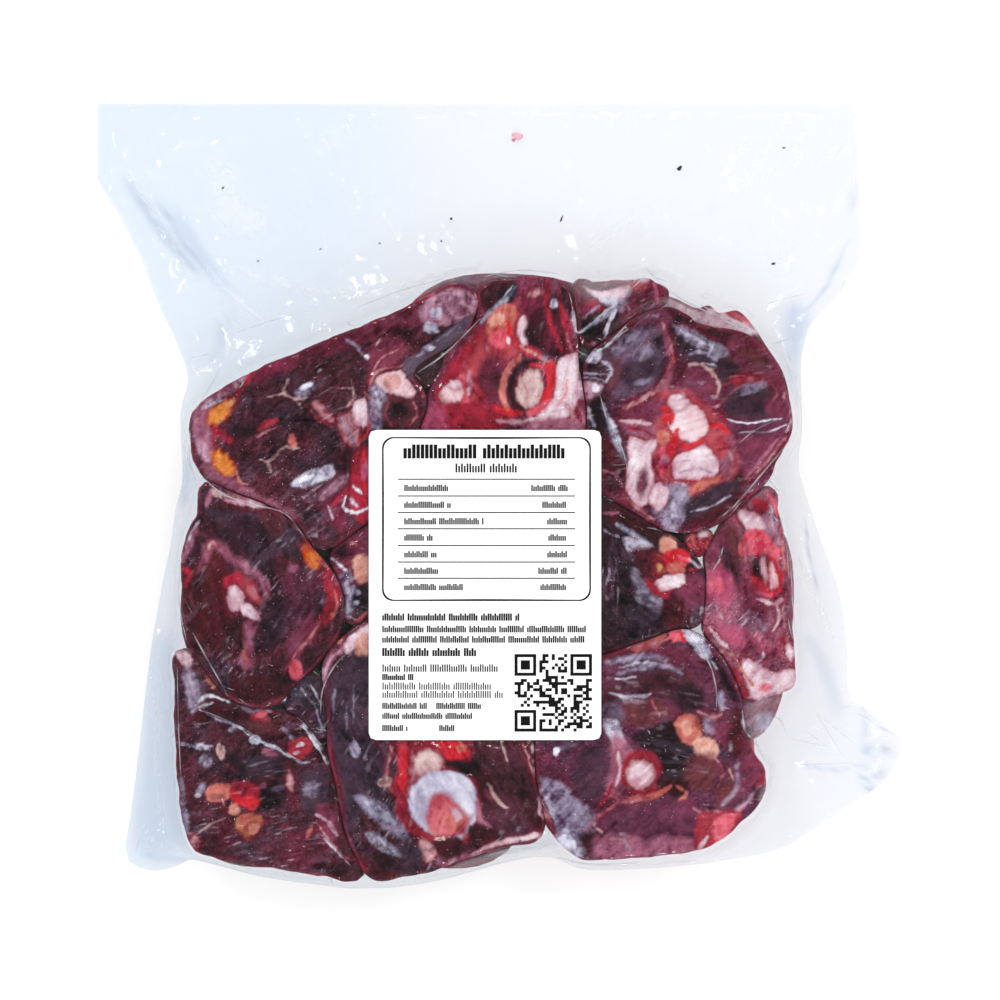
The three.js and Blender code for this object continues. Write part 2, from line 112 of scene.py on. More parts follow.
def smoothStep(low, high, value):
    t = np.clip((value - low) / (high - low), 0, 1)
    return t * t * (3 - 2 * t)


def noise(x, y, cell, seed):  # smooth random values from -1 to 1, a new one every cell mm
    size = 256
    table = np.random.default_rng(seed).uniform(-1, 1, (size, size))
    u, v = x / cell + size / 2, y / cell + size / 2
    i, j = np.floor(u).astype(int), np.floor(v).astype(int)
    s, t = smoothStep(0, 1, u - i), smoothStep(0, 1, v - j)
    i, j, k, m = i % size, j % size, (i + 1) % size, (j + 1) % size
    return (table[i, j] * (1 - s) + table[k, j] * s) * (1 - t) + (table[i, m] * (1 - s) + table[k, m] * s) * t


def cloud(x, y, cell, seed, octaves=3):  # noise with finer and finer noise on it
    layers = [noise(x, y, cell / 2**k, seed + k) / 1.7**k for k in range(octaves)]
    return sum(layers) / sum(1 / 1.7**k for k in range(octaves))


def turned(x, y, degrees):  # a place turned anticlockwise about the origin
    c, s = math.cos(math.radians(degrees)), math.sin(math.radians(degrees))
    return x * c - y * s, x * s + y * c


def streaks(x, y, angle, seed, long=7.0, wide=1.1):  # noise drawn out along an angle, as muscle fibres are
    along, across = turned(x, y, -angle)
    return noise(along * wide / long, across + 0.8 * noise(along, across, 7, seed + 9), wide, seed)


def smoothLine(points, perSpan, closed):  # a centripetal Catmull-Rom line through the points
    p = np.array(points, float)
    if closed:
        p = np.concatenate([p[-1:], p, p[:2]])
    else:
        p = np.concatenate([2 * p[:1] - p[1:2], p, 2 * p[-1:] - p[-2:-1]])
    a, b, c, d = p[:-3], p[1:-2], p[2:-1], p[3:]
    first, second, third = (np.sqrt(np.linalg.norm(q, axis=1))[:, None] for q in (b - a, c - b, d - c))
    leave = ((b - a) / first - (c - a) / (first + second) + (c - b) / second) * second
    arrive = ((c - b) / second - (d - b) / (second + third) + (d - c) / third) * second
    t = (np.arange(perSpan) / perSpan)[None, :, None]
    b, c, leave, arrive = (q[:, None, :] for q in (b, c, leave, arrive))
    square, cube = 3 * c - 3 * b - 2 * leave - arrive, 2 * b - 2 * c + leave + arrive
    line = (b + leave * t + square * t**2 + cube * t**3).reshape(-1, 2)
    return line if closed else np.concatenate([line, p[-2:-1]])


def nearLine(line, x, y, closed):  # distance to a line, and how far along it, from 0 to 1
    nearest, along = np.full(x.shape, np.inf), np.zeros(x.shape)
    ends = np.roll(line, -1, axis=0) if closed else line[1:]
    for k, ((ax, ay), (bx, by)) in enumerate(zip(line, ends)):
        dx, dy = bx - ax, by - ay
        t = np.clip(((x - ax) * dx + (y - ay) * dy) / (dx * dx + dy * dy + 1e-12), 0, 1)
        d = np.hypot(x - ax - t * dx, y - ay - t * dy)
        closer = d < nearest
        nearest, along = np.where(closer, d, nearest), np.where(closer, (k + t) / len(ends), along)
    return nearest, along


def depthInside(outline, x, y):  # distance to a closed outline, positive inside it
    inside = np.zeros(x.shape, bool)
    for (ax, ay), (bx, by) in zip(outline, np.roll(outline, -1, axis=0)):
        if ay != by:
            inside ^= ((ay > y) != (by > y)) & (x < (bx - ax) * (y - ay) / (by - ay) + ax)
    return np.where(inside, 1, -1) * nearLine(outline, x, y, True)[0]


def evenPoints(line, count, centre, startAngle):  # points spaced evenly along a closed line, anticlockwise
    area = np.sum(line[:, 0] * np.roll(line[:, 1], -1) - np.roll(line[:, 0], -1) * line[:, 1])
    line = line if area > 0 else line[::-1]
    angle = np.arctan2(line[:, 1] - centre[1], line[:, 0] - centre[0]) - startAngle
    start = np.argmin(np.abs((angle + math.pi) % (2 * math.pi) - math.pi))
    line = np.roll(line, -start, axis=0)
    line = np.concatenate([line, line[:1]])
    along = np.concatenate([[0], np.cumsum(np.linalg.norm(np.diff(line, axis=0), axis=1))])
    want = np.arange(count) / count * along[-1]
    return np.stack([np.interp(want, along, line[:, 0]), np.interp(want, along, line[:, 1])], 1)


thinEnd = 0.35  # width of a line at its ends, as a share of its middle
mostSoft = 0.45  # a small mark's soft edge, as a share of its width


# The marks that the features below are made of: a line, an area inside an outline, and an oval
def stroke(tissue, width, *xy, strength=1.0):
    return dict(patch(tissue, *xy, strength=strength), form="stroke", width=width)


def patch(tissue, *xy, strength=1.0):
    return dict(form="patch", tissue=tissue, points=list(zip(xy[::2], xy[1::2])), strength=strength)


def oval(tissue, x, y, halfX, halfY, turn=0, strength=1.0):
    return dict(patch(tissue, x, y, strength=strength), form="oval", half=(halfX, halfY), turn=turn)


def reachOf(mark):  # how far round its points a mark can colour the meat, in mm
    return max(mark.get("width", 0) / 2, *mark.get("half", (0, 0))) + 5


def markDepth(mark, x, y, soft):  # how deep in a mark each point lies, in mm, and how soft its edge is
    if mark["form"] == "stroke":
        away, along = nearLine(smoothLine(mark["points"], 4, False), x, y, False)
        taper = thinEnd + (1 - thinEnd) * np.sqrt(np.clip(4 * along * (1 - along), 0, 1))
        return mark["width"] / 2 * taper - away, min(soft, mostSoft * mark["width"])
    if mark["form"] == "patch":
        return depthInside(smoothLine(mark["points"], 4, True), x, y), soft
    (cx, cy), (a, b) = mark["points"][0], mark["half"]
    u, v = turned(x - cx, y - cy, -mark["turn"])
    return (1 - np.sqrt((u / a) ** 2 + (v / b) ** 2)) * min(a, b), min(soft, mostSoft * min(a, b))


# Creased film and dark muscle between the upper middle and upper right chops, painted on both
foldMarks = [
    patch("deep", 32, 71, 45, 75, 49, 68, 41, 51, 43, 44, 41, 36, 43, 23, 36, 23, 34.5, 36, 32, 44, 31, 60),
    patch("maroon", 26.5, 82.5, 32, 83, 36, 79, 39, 75, 33, 69),
    oval("crimson", 38.4, 74, 3.2, 2.4, -20, strength=0.8),
    stroke("frost", 1.4, 29, 71, 31, 63, 36, 66.5, 47, 75),
    stroke("lilac", 1.2, 33.5, 69, 40, 74.5),
    stroke("frostGlaze", 1.6, 35, 65, 47, 73, strength=0.8),
    stroke("deepRed", 3.2, 37, 59, 46.5, 69),
    stroke("frost", 0.9, 42, 61, 44.5, 67.5, 47.5, 72.5),
    stroke("frost", 0.8, 41.5, 62.5, 45.5, 71),
    stroke("ice", 0.8, 38, 54, 51, 64.5),
    patch("frost", 33, 55, 37.5, 56, 41, 54.5, 39, 51, 34, 51.5),
    stroke("pinkFrost", 2, 31.5, 58.5, 35, 56, 38, 59),
    stroke("hole", 1.2, 32, 49.5, 38.5, 49.5, 45, 48),
    stroke("lilac", 0.9, 31.5, 47.5, 45, 46),
    stroke("frost", 1.2, 41, 51.5, 44.5, 49, 43, 43.5),
    stroke("lilac", 0.7, 32.5, 45, 38.5, 45, 43, 43),
    patch("pinkFrost", 31, 43, 41, 42.5, 40, 38, 31, 37),
    oval("ice", 38.4, 40.8, 1.6, 2, 20),
    stroke("frost", 1.2, 33, 37.5, 38, 25.5, strength=0.8),
    stroke("hole", 3.6, 37.5, 35, 41, 23),
    stroke("frost", 1.4, 41, 35, 48.5, 19.5),
    stroke("pinkMeat", 1.2, 30.5, 36, 35, 24),
]
# The upper chops: outline, height at the middle, lean along X and Y, muscle, direction of its fibres in
# degrees, and features
upperLeft = dict(
    name="chop_upper_left", height=41.6, lean=(0.012, 0.01), muscle="dark", grain=62, seed=11,
    outline=[
        (-123.6, 31), (-102.8, 45.6), (-80, 56), (-48, 68.8), (-19.2, 81.6), (-10.6, 77.6), (-14, 66),
        (-29, 55.4), (-36, 44.8), (-32.4, 36.8), (-38, 18), (-48, -6), (-71.2, -22), (-79, -13),
        (-91, -4.6), (-106, 1), (-118.8, 7.6), (-124, 18.8),
    ],
    features=[
        stroke("maroon", 10.4, -100, 45, -80, 56, -40, 69, -10, 80),
        stroke("mid", 4.8, -54, 64, -40, 67, -24, 69, -12, 71),
        patch("pinkFrost", -30, 76, -22, 81, -12, 80, -7, 74, -9, 69, -28, 66, -33, 70),
        stroke("maroon", 3.6, -28, 79, -21, 82, -12, 81, -8, 77),
        patch("frost", -29, 71, -23, 72.5, -25.5, 68.5),
        patch("frost", -29, 67, -25.5, 67, -24, 62.5, -28, 62.5, -30.5, 65),
        stroke("crimson", 1.2, -38, 73, -27, 77.5, strength=0.7),
        patch("mid", -53, 58, -46, 62, -38, 61, -38, 55, -46, 47, -51, 42),
        stroke("pinkFat", 0.6, -51, 47, -48, 53, -42, 56, -39, 58.5),
        stroke("sinew", 0.6, -49.5, 58, -48, 61),
        oval("redMuscle", -68, 52, 14.4, 7.2, 20, strength=0.3),
        stroke("lilac", 1.2, -62.5, 60, -58, 58, -55, 54.5, strength=0.8),
        oval("ice", -53.2, 53.6, 1, 1.2),
        patch("pinkMeat", -123, 34, -118, 36, -114, 31, -115, 24, -114.5, 17, -107, 5, -99, -1, -104, -1.5,
              -111, 2.5, -121.5, 17.5),
        patch("pinkFrost", -121.5, 21, -117, 17.5, -115, 11, -119, 12),
        stroke("pinkFrost", 4, -119, 34.5, -101.5, 45),
        stroke("maroon", 0.6, -117.5, 40, -104, 46.5),
        stroke("maroon", 0.6, -118.5, 36, -105.5, 44),
        stroke("frost", 1.6, -119, 33, -110.5, 36.5),
        stroke("crimson", 2, -98.5, 49, -107.5, 35),
        oval("orangeFat", -111.6, 31.2, 6.8, 3.2, 46),
        oval("yellowFat", -108, 34.8, 2.4, 1.2, 46, strength=0.6),
        stroke("crimson", 3.6, -115, 25, -107, 19),
        stroke("crimson", 2, -115, 25, -113.5, 16),
        oval("orangeFat", -110.8, 10.8, 6.4, 3.6, -50),
        stroke("salmon", 0.8, -105.5, 8, -104, 3.5, -101, 2.5),
        oval("deep", -103.6, 24, 6.4, 3.6, 10),
        oval("hole", -102.4, 23.2, 2.8, 1.6, 10),
        stroke("red", 2.4, -97, 23.5, -93.5, 26.5, -89, 27.5),
        stroke("pinkFat", 0.8, -97.5, 21, -89, 25),
        stroke("hole", 1.2, -87, 27.5, -72, 29),
        stroke("mid", 1.2, -101, 15, -95, 17.5, -92, 15),
        stroke("sinew", 1.2, -85, 45, -86.5, 39, -81.5, 37, -77, 37),
        stroke("sinew", 1, -86.5, 39, -93, 37),
        stroke("sinew", 0.9, -81, 36.5, -79.5, 33),
        patch("lilac", -82, 39, -80, 41.5, -75, 43, -75, 40, -79, 37.5),
        oval("ice", -77.6, 41.6, 2.4, 1, 20),
        patch("pinkFat", -75, 35, -72, 35.5, -66.5, 27.5, -69.5, 28),
        stroke("red", 1.2, -77.5, 34.5, -73.5, 29.5, -67, 25.5, strength=0.8),
        stroke("sinew", 1, -59.5, 44.5, -58.5, 37.5, -60, 35, -65, 32.5),
        stroke("sinew", 0.6, -65, 41, -59, 41, strength=0.8),
        patch("pinkFat", -65, 31, -59, 30.5, -56, 18.5, -59, 17, -63, 20),
        stroke("lilac", 1.6, -64, 29, -58.5, 18.5, strength=0.7),
        patch("fat", -59, 34.5, -54.5, 37, -53.5, 25.5, -57.5, 25.5),
        stroke("salmon", 1.6, -53.5, 39, -51.5, 35, -52, 28),
        stroke("scarlet", 1.4, -51.5, 33, -53, 24, -57, 19.5),
        patch("crimson", -57.5, 16, -55, 18, -52, 16, -52, -13.5, -57.5, -11, -61, -4),
        stroke("scarlet", 1.6, -55, -4, -53.5, 8, -54.5, 15, strength=0.8),
        patch("maroon", -73, -2, -63, 4, -60, -4, -62, -16, -70, -12),
        stroke("pinkFrost", 2.8, -72, -4, -61.5, 5.5, strength=0.8),
        stroke("crimson", 2, -68, -7, -62, -1, -55, 3),
        oval("pinkFat", -68.4, 6.4, 1.6, 1.2, -20),
        stroke("ice", 0.8, -59, 1.5, -55, -2),
        stroke("ice", 1, -62, -2.5, -63, -7, -58.5, -9, -53, -7),
        stroke("frost", 1.2, -60, -4, -57, -6.5),
        stroke("frost", 0.8, -69.5, -6, -67, -12, strength=0.7),
        oval("magenta", -54, 8, 1.6, 3.6),
        oval("salmon", -83.2, 19.6, 1.6, 2.8, 10),
        stroke("sinew", 1.2, -80.5, 17, -86.5, 17, -93, 11.5, -96, 12),
        stroke("sinew", 1, -93, 11.5, -91.5, 7.5),
        patch("frost", -84, 2.5, -80, 6, -67, 9.5, -66.5, 6.5, -79, 1),
        oval("ice", -78, 4.4, 3.6, 1, 12),
        oval("lilac", -69.6, 8, 1.6, 1.2, 20),
        stroke("pinkMeat", 3.6, -118, 9, -111, 2, -86, -8, -80, -12, strength=0.7),
        patch("bone", -49.5, 45, -40, 47.5, -33.5, 39, -34.5, 37, -49, 41),
        patch("salmon", -46.5, 45, -41.5, 46, -39, 42.5, -42.5, 40, -46, 41.5, strength=0.6),
        stroke("pinkFat", 0.8, -46.5, 43, -43.5, 38, strength=0.8),
        stroke("red", 1.2, -51, 47, -52, 42, -51, 38),
        stroke("pinkFat", 1, -53, 38, -50.5, 46, -45.5, 49, -38.5, 50),
        patch("lilac", -52, 41, -47.5, 41.5, -46, 28, -49, 23, -52, 23),
        stroke("frost", 1.6, -49.5, 39, -48.5, 33, -49.5, 26.5),
        oval("redBrown", -40.8, 31.6, 6.8, 6),
        stroke("pinkFat", 1, -45, 35, -46, 30.5, -43.5, 25.5, strength=0.8),
        oval("deep", -41.2, 31.6, 4.8, 4),
        oval("hole", -40.8, 32, 2.4, 2, strength=0.8),
        oval("deepRed", -40, 30.4, 1.6, 1.6, strength=0.8),
        stroke("pinkFat", 1, -35, 35.5, -33, 31, -36.5, 26, strength=0.8),
        patch("greyBand", -38.5, 51, -33, 55, -9.5, 71, -6.5, 69, -28, 49.5, -33.5, 43.5, -37, 46),
        stroke("sinew", 0.6, -33.5, 46.5, -20, 57, -7.5, 68.5),
        stroke("deep", 3.6, -24, 46.5, -7, 65),
        patch("blueGrey", -29, 41, -24, 46.5, -20.5, 44, -28, 38),
        stroke("frostGlaze", 2.4, -9.5, 66, 0, 75),
        stroke("pinkFat", 1.1, -32, 47.5, -30.5, 43, -31, 37),
        oval("ice", -27.6, 57.2, 2, 0.9, -10),
        stroke("lilac", 0.8, -33, 53.5, -17, 65.5, strength=0.7),
        stroke("pinkMeat", 2.4, -30.5, 34.5, -25.5, 37.5, -23, 34.5, strength=0.8),
    ],
)
upperMiddle = dict(
    name="chop_upper_middle", height=41.8, lean=(0, -0.01), muscle="mid", grain=100, seed=23,
    outline=[
        (-8, 78), (4, 84), (18, 85), (26, 79), (29, 68), (28.4, 48), (31.4, 26), (26, 8), (8, -3),
        (-18, -0.8), (-31, 14), (-26, 32), (-24.6, 42), (-17.6, 55), (-8, 66),
    ],
    features=[
        patch("crimson", -25, 42, -4, 66, 2, 58, -6, 36, -24, 25),
        patch("wetRed", 0, 71, 9, 77, 8, 55, 0, 51, -7, 44, -12, 32, -24, 26),
        patch("deepRed", -9, 82.5, -5.5, 85.5, 5, 86, 6.5, 80, -6.5, 71),
        patch("deep", -1, 81, 7, 83.5, 7, 77.5, 0, 73.5),
        stroke("blueGrey", 2, 1.5, 76.5, 6.5, 82),
        stroke("frost", 0.6, 1, 77, 5, 82.5),
        stroke("crimson", 1.2, -8.5, 75, -9, 81, -5.5, 85),
        stroke("frostGlaze", 2, -8, 67, 2.5, 77),
        patch("salmon", -5, 69, 3, 75, 7, 72, 0, 57.5, -5, 61.5),
        oval("peach", -1.6, 68, 3.6, 2.4, 30),
        oval("coral", 0, 60, 3.2, 3.6, 20),
        stroke("scarlet", 2, 3.5, 68, 5, 58.5),
        oval("ice", 3.6, 59.6, 0.6, 1.6),
        stroke("scarlet", 3.6, 6.5, 59.5, 17, 52.5),
        stroke("pinkFat", 1.2, -7, 60, -5, 55.5, strength=0.7),
        patch("maroon", 8, 77, 18, 81, 21, 71, 19, 64, 13, 69, 9.5, 64),
        oval("pinkFat", 14.8, 78.8, 2.8, 1.6, 10),
        patch("fat", 7.5, 68, 10.5, 70, 11, 58, 8, 59.5),
        patch("deepRed", 12, 69, 18, 74, 23, 72, 26.5, 53.5, 20, 53, 14.5, 57, 11, 58.5),
        oval("maroon", 20.8, 61.6, 3.2, 6.4, -10, strength=0.6),
        stroke("crimson", 2, 18.5, 84.5, 19, 72, 24.5, 55),
        stroke("crimson", 1.6, 23, 81, 27.5, 57),
        oval("ice", 21.6, 74.4, 1.6, 2),
        patch("deepRed", 24.5, 82.5, 30.5, 81.5, 34, 72, 32, 68, 27.5, 70.5),
        stroke("red", 1, 23, 76, 27, 69, 29, 60),
        stroke("sinew", 1.4, 8, 58, 25, 47.5),
        stroke("pinkFat", 1.2, 26.5, 63, 30, 51),
        oval("maroon", -2.4, 44.8, 6, 9.2, 10),
        oval("dark", -1.6, 42.4, 3.2, 4, strength=0.7),
        oval("pinkFrost", -12, 43.2, 1.1, 3.6, 5),
        oval("ice", -12.8, 39.6, 0.8, 1.6),
        stroke("coral", 3.2, -15, 47, -15, 40, -13, 31, strength=0.8),
        oval("bone", -19.2, 38.8, 4.4, 4),
        oval("fat", -18, 42.4, 2.8, 2),
        stroke("pinkFat", 0.8, -24, 37.5, -21, 34),
        patch("crimson", -24, 32.5, -8, 34.5, 5, 32, 0, 24, -25, 24),
        patch("magenta", -29, 33, -24, 34.5, -21.5, 24, -30.5, 23, strength=0.7),
        stroke("scarlet", 2.8, -1, 33, 5, 31, 9, 31),
        stroke("salmon", 2.8, 8.5, 54, 3, 48, 1, 40, 3, 32.5),
        stroke("pinkFat", 1.2, 7, 53, 3, 47, 2, 40, strength=0.6),
        stroke("hole", 2.8, 15, 51.5, 9, 50.5, 5, 45, 5, 37, 9, 32),
        patch("scarlet", 17, 50, 21.5, 51, 23, 45.5, 18.5, 34.5, 16, 37, 19, 42.5),
        stroke("scarlet", 2, 11.5, 50.5, 18, 49),
        patch("coral", 10.5, 31, 22.5, 37.5, 21, 34, 11, 29),
        oval("cord", 11.6, 40.8, 5.4, 8, -8),
        stroke("pinkBone", 0.6, 8, 44.5, 11, 39, 10.5, 34.5, strength=0.5),
        patch("fat", 23, 50.5, 30.5, 54.5, 30.5, 34.5, 25, 29, 12.5, 27, 21.5, 37),
        stroke("pinkFat", 1.6, 26.5, 34.5, 30.5, 27),
        patch("pinkMeat", 12, 27.5, 31, 28, 33, 22.5, 11, 22.5),
        stroke("coral", 1.2, 22.5, 34, 26.5, 39, 27, 44, strength=0.6),
        stroke("fat", 1.6, -1, 28.5, 8, 27, 14.5, 29, strength=0.7),
    ],
)
upperRight = dict(
    name="chop_upper_right", height=42.6, lean=(0.014, 0.004), muscle="maroon", grain=35, seed=37,
    outline=[
        (40, 56), (48.8, 64.8), (60, 71.4), (72, 70.2), (82, 65.6), (96.8, 63.2), (106.4, 57.2),
        (112.8, 47.2), (115.6, 36.8), (117.6, 26), (114, 16.8), (107.2, 8), (99.2, -0.4), (91.2, -7.4),
        (80, -16), (68.8, -14.6), (56, -8), (42.4, 1), (36.8, 14), (38, 32), (36.8, 46),
    ],
    features=[
        patch("grey", 41.5, 55, 64, 67.5, 66, 58, 62, 42, 56, 39, 46, 36.5, strength=0.8),
        stroke("lilac", 4, 45, 55, 58, 63, strength=0.6),
        oval("greyDark", 56, 46.8, 7.6, 6, 20),
        oval("lilac", 57.6, 55.2, 5.6, 2.8, 20, strength=0.6),
        oval("lilac", 56.8, 43.2, 4, 1.2, 10, strength=0.6),
        patch("redBrown", 41, 49, 47, 52, 48, 43.5, 43, 39, strength=0.8),
        patch("purple", 49.5, 69, 66.5, 74, 69, 64, 64, 65.5),
        stroke("pinkMeat", 2.8, 65.5, 65, 68.5, 48, 66.5, 43, 61.5, 39),
        stroke("pinkFat", 1.2, 65, 66.5, 69, 53, 63, 41, 49, 32.5),
        stroke("salmon", 0.6, 68.5, 56, 69.5, 49.5),
        patch("deepRed", 65, 74, 76, 69, 88, 64.5, 99, 57.5, 88, 60.5, 78, 65, 68, 69.5),
        patch("deep", 69, 63.5, 76, 64, 88, 58, 89.5, 53, 80, 53, 72, 57.5),
        patch("greyDark", 71, 58, 89, 52, 100, 48, 99, 43.5, 89, 43, 85, 48.5, 76, 51.5),
        stroke("lilac", 4.8, 70, 65, 85, 57),
        stroke("frost", 0.8, 72, 64, 85, 57),
        stroke("frost", 1.6, 73, 63, 80.5, 59.5),
        oval("frost", 87.2, 55.6, 4, 2.8, -20, strength=0.4),
        stroke("lilac", 1.2, 76, 55, 81.5, 55, 86.5, 51.5),
        stroke("frost", 0.7, 75.5, 49.5, 82, 51, 86.5, 49),
        oval("deep", 92.8, 47.2, 6.4, 3.6, -20),
        patch("mid", 89, 62, 107, 54, 112, 48, 113.5, 37.5, 110, 36, 104, 42, 96, 48),
        patch("redBrown", 96, 58, 104, 55, 108.5, 50, 102.5, 48.5, 97, 52.5),
        patch("crimson", 91, 44.5, 98, 48, 105, 46.5, 104, 42, 96, 41, strength=0.8),
        stroke("red", 1, 88.5, 42, 101, 46.5),
        patch("mid", 70.5, 47, 76, 50, 82.5, 49, 87, 45, 87, 39, 82.5, 34, 72, 41),
        stroke("sinew", 1.3, 75.5, 50.5, 81, 50.5, 87.5, 43, 86.5, 37.5),
        stroke("pinkFat", 1, 88.5, 35, 95, 41, 100, 43.5),
        stroke("pinkFat", 1.2, 86, 33.5, 95, 38),
        oval("greyDark", 100, 34.4, 10.8, 8, 8),
        oval("deep", 99.6, 35.6, 7.2, 4.4, 8, strength=0.8),
        oval("lilac", 100.8, 41.2, 5.2, 2, 20, strength=0.7),
        stroke("pinkFat", 0.8, 109, 43, 110.5, 38, 109, 35),
        patch("mid", 106, 36, 115, 36, 116, 25.5, 108, 29),
        patch("purple", 89.5, 27, 114.5, 27.5, 115, 21, 93.5, 21),
        stroke("ice", 0.6, 90, 28.5, 98, 26.5, 107, 28.5, 113.5, 28.5),
        stroke("frost", 0.7, 95, 23, 104, 23, 115, 26),
        stroke("pinkFrost", 1.6, 113, 39, 117, 30.5, 115, 23),
        stroke("pinkFat", 1.2, 106.5, 57.5, 113, 48, 116.5, 37),
        patch("mid", 92.5, 19.5, 113, 21, 98, 3, 94, 4.5),
        stroke("pinkFat", 1.1, 115, 21.5, 93.5, -4),
        stroke("pinkMeat", 1, 111, 20.5, 99, 5),
        patch("redMuscle", 88, 0, 96, 8, 98.5, 0, 89, -10.5, 82, -13, 79, -8.5),
        patch("wetRed", 62, 36, 67, 40, 76, 39.5, 94.5, 16, 93, 4, 76, -3.5, 67, -1, 60.5, 6, 58, 20,
              62, 28),
        patch("pinkMeat", 85, 24, 93.5, 17.5, 93, 5.5, 86.5, 1.5, 89, 12, strength=0.7),
        patch("mid", 49, 31, 67, 36, 65.5, 30, 52, 27.5),
        stroke("pinkFat", 1.6, 49, 31.5, 63.5, 39.5),
        patch("pinkMeat", 49, 26.5, 60, 26.5, 65.5, 20, 53, 21.5),
        stroke("crimson", 1, 50.5, 24.5, 58, 24, 62.5, 21),
        stroke("red", 0.9, 51, 21.5, 58.5, 21),
        patch("redMuscle", 39, 20, 45, 20, 52.5, 0, 44, 3),
        stroke("frostGlaze", 2, 42, 31.5, 51, 10),
        stroke("pinkMeat", 1.2, 41, 8, 46.5, 5.5, 49, 1),
        patch("fat", 52, 21.5, 58, 20, 62.5, 20, 61, 11, 62.5, 4, 60, -4, 56, -7, 51, -1, 51, 11),
        oval("mid", 57.2, 2.4, 2.4, 5.6, -8),
        stroke("pinkFat", 1.2, 51, -4, 61, -12.5),
        patch("lilac", 62.5, 1, 69, 3, 76.5, 0, 70.5, -16.5, 65, -14.5, 60.5, -7),
        patch("fat", 60.5, -0.5, 65, 3.5, 67.5, -1, 64, -8.5, 61, -7.5),
        stroke("frost", 2.4, 69, -4, 70, -13, strength=0.8),
        oval("lilac", 70.4, -1.6, 2.4, 3.2),
        patch("greyDark", 73, -6.5, 90, 4, 96, 2, 80, -10.5, 74.5, -11),
        stroke("frost", 0.8, 75.5, -9, 85, -6.5, 93, -2.5),
        stroke("salmon", 3.6, 75.5, -1, 82.5, 3, 90.5, 5.5),
        stroke("salmon", 1.2, 77.5, 1, 89.5, 6.5, strength=0.6),
        patch("pinkMeat", 86, 20, 92.5, 21.5, 93, 8, 89, 5, 87, 14),
        stroke("pinkFat", 1.6, 91, 17, 93, 10, 91, 4.5),
        patch("wetRed", 81.5, 21.5, 89, 23, 91.5, 18.5, 88, 13),
        stroke("scarlet", 2, 79.5, 23, 86, 26.5, 91.5, 23),
        patch("bone", 68.5, 32, 73.5, 35.5, 79.5, 33, 83, 26, 81, 20.5, 76, 19, 71, 21, 67.5, 26.5),
        stroke("sinew", 1, 73, 39, 76.5, 34),
        patch("fat", 67, 36, 72, 38, 76.5, 35, 72.5, 32, 68, 33),
        patch("blood", 65, 33, 70, 31, 69, 26, 65, 27.5),
        stroke("scarlet", 3.2, 71, 24, 67, 12),
        stroke("scarlet", 2.4, 70.5, 18, 76, 17, 81.5, 20),
        oval("salmon", 64.8, 21.2, 2.8, 3.2, 20),
        stroke("coral", 2, 64, 17.5, 65.5, 11, 64, 4.5),
        stroke("crimson", 1.6, 61, 15, 62.5, 8, 66, 2),
        oval("pinkFrost", 65.6, 11.2, 2.8, 2.4, 20),
        stroke("fat", 2, 48.5, 27.5, 60.5, 27),
        stroke("crimson", 1.2, 85, 32, 90, 27.5),
        patch("fat", 70, 13, 76, 15, 81.5, 18, 88, 7, 70, 5),
        stroke("pinkFrost", 0.8, 72, 11, 76.5, 12, strength=0.8),
        stroke("lilac", 1.2, 72, 7, 80, 8.5, 85, 6.5),
        stroke("frost", 1, 70, 3.5, 75, 2),
    ],
)
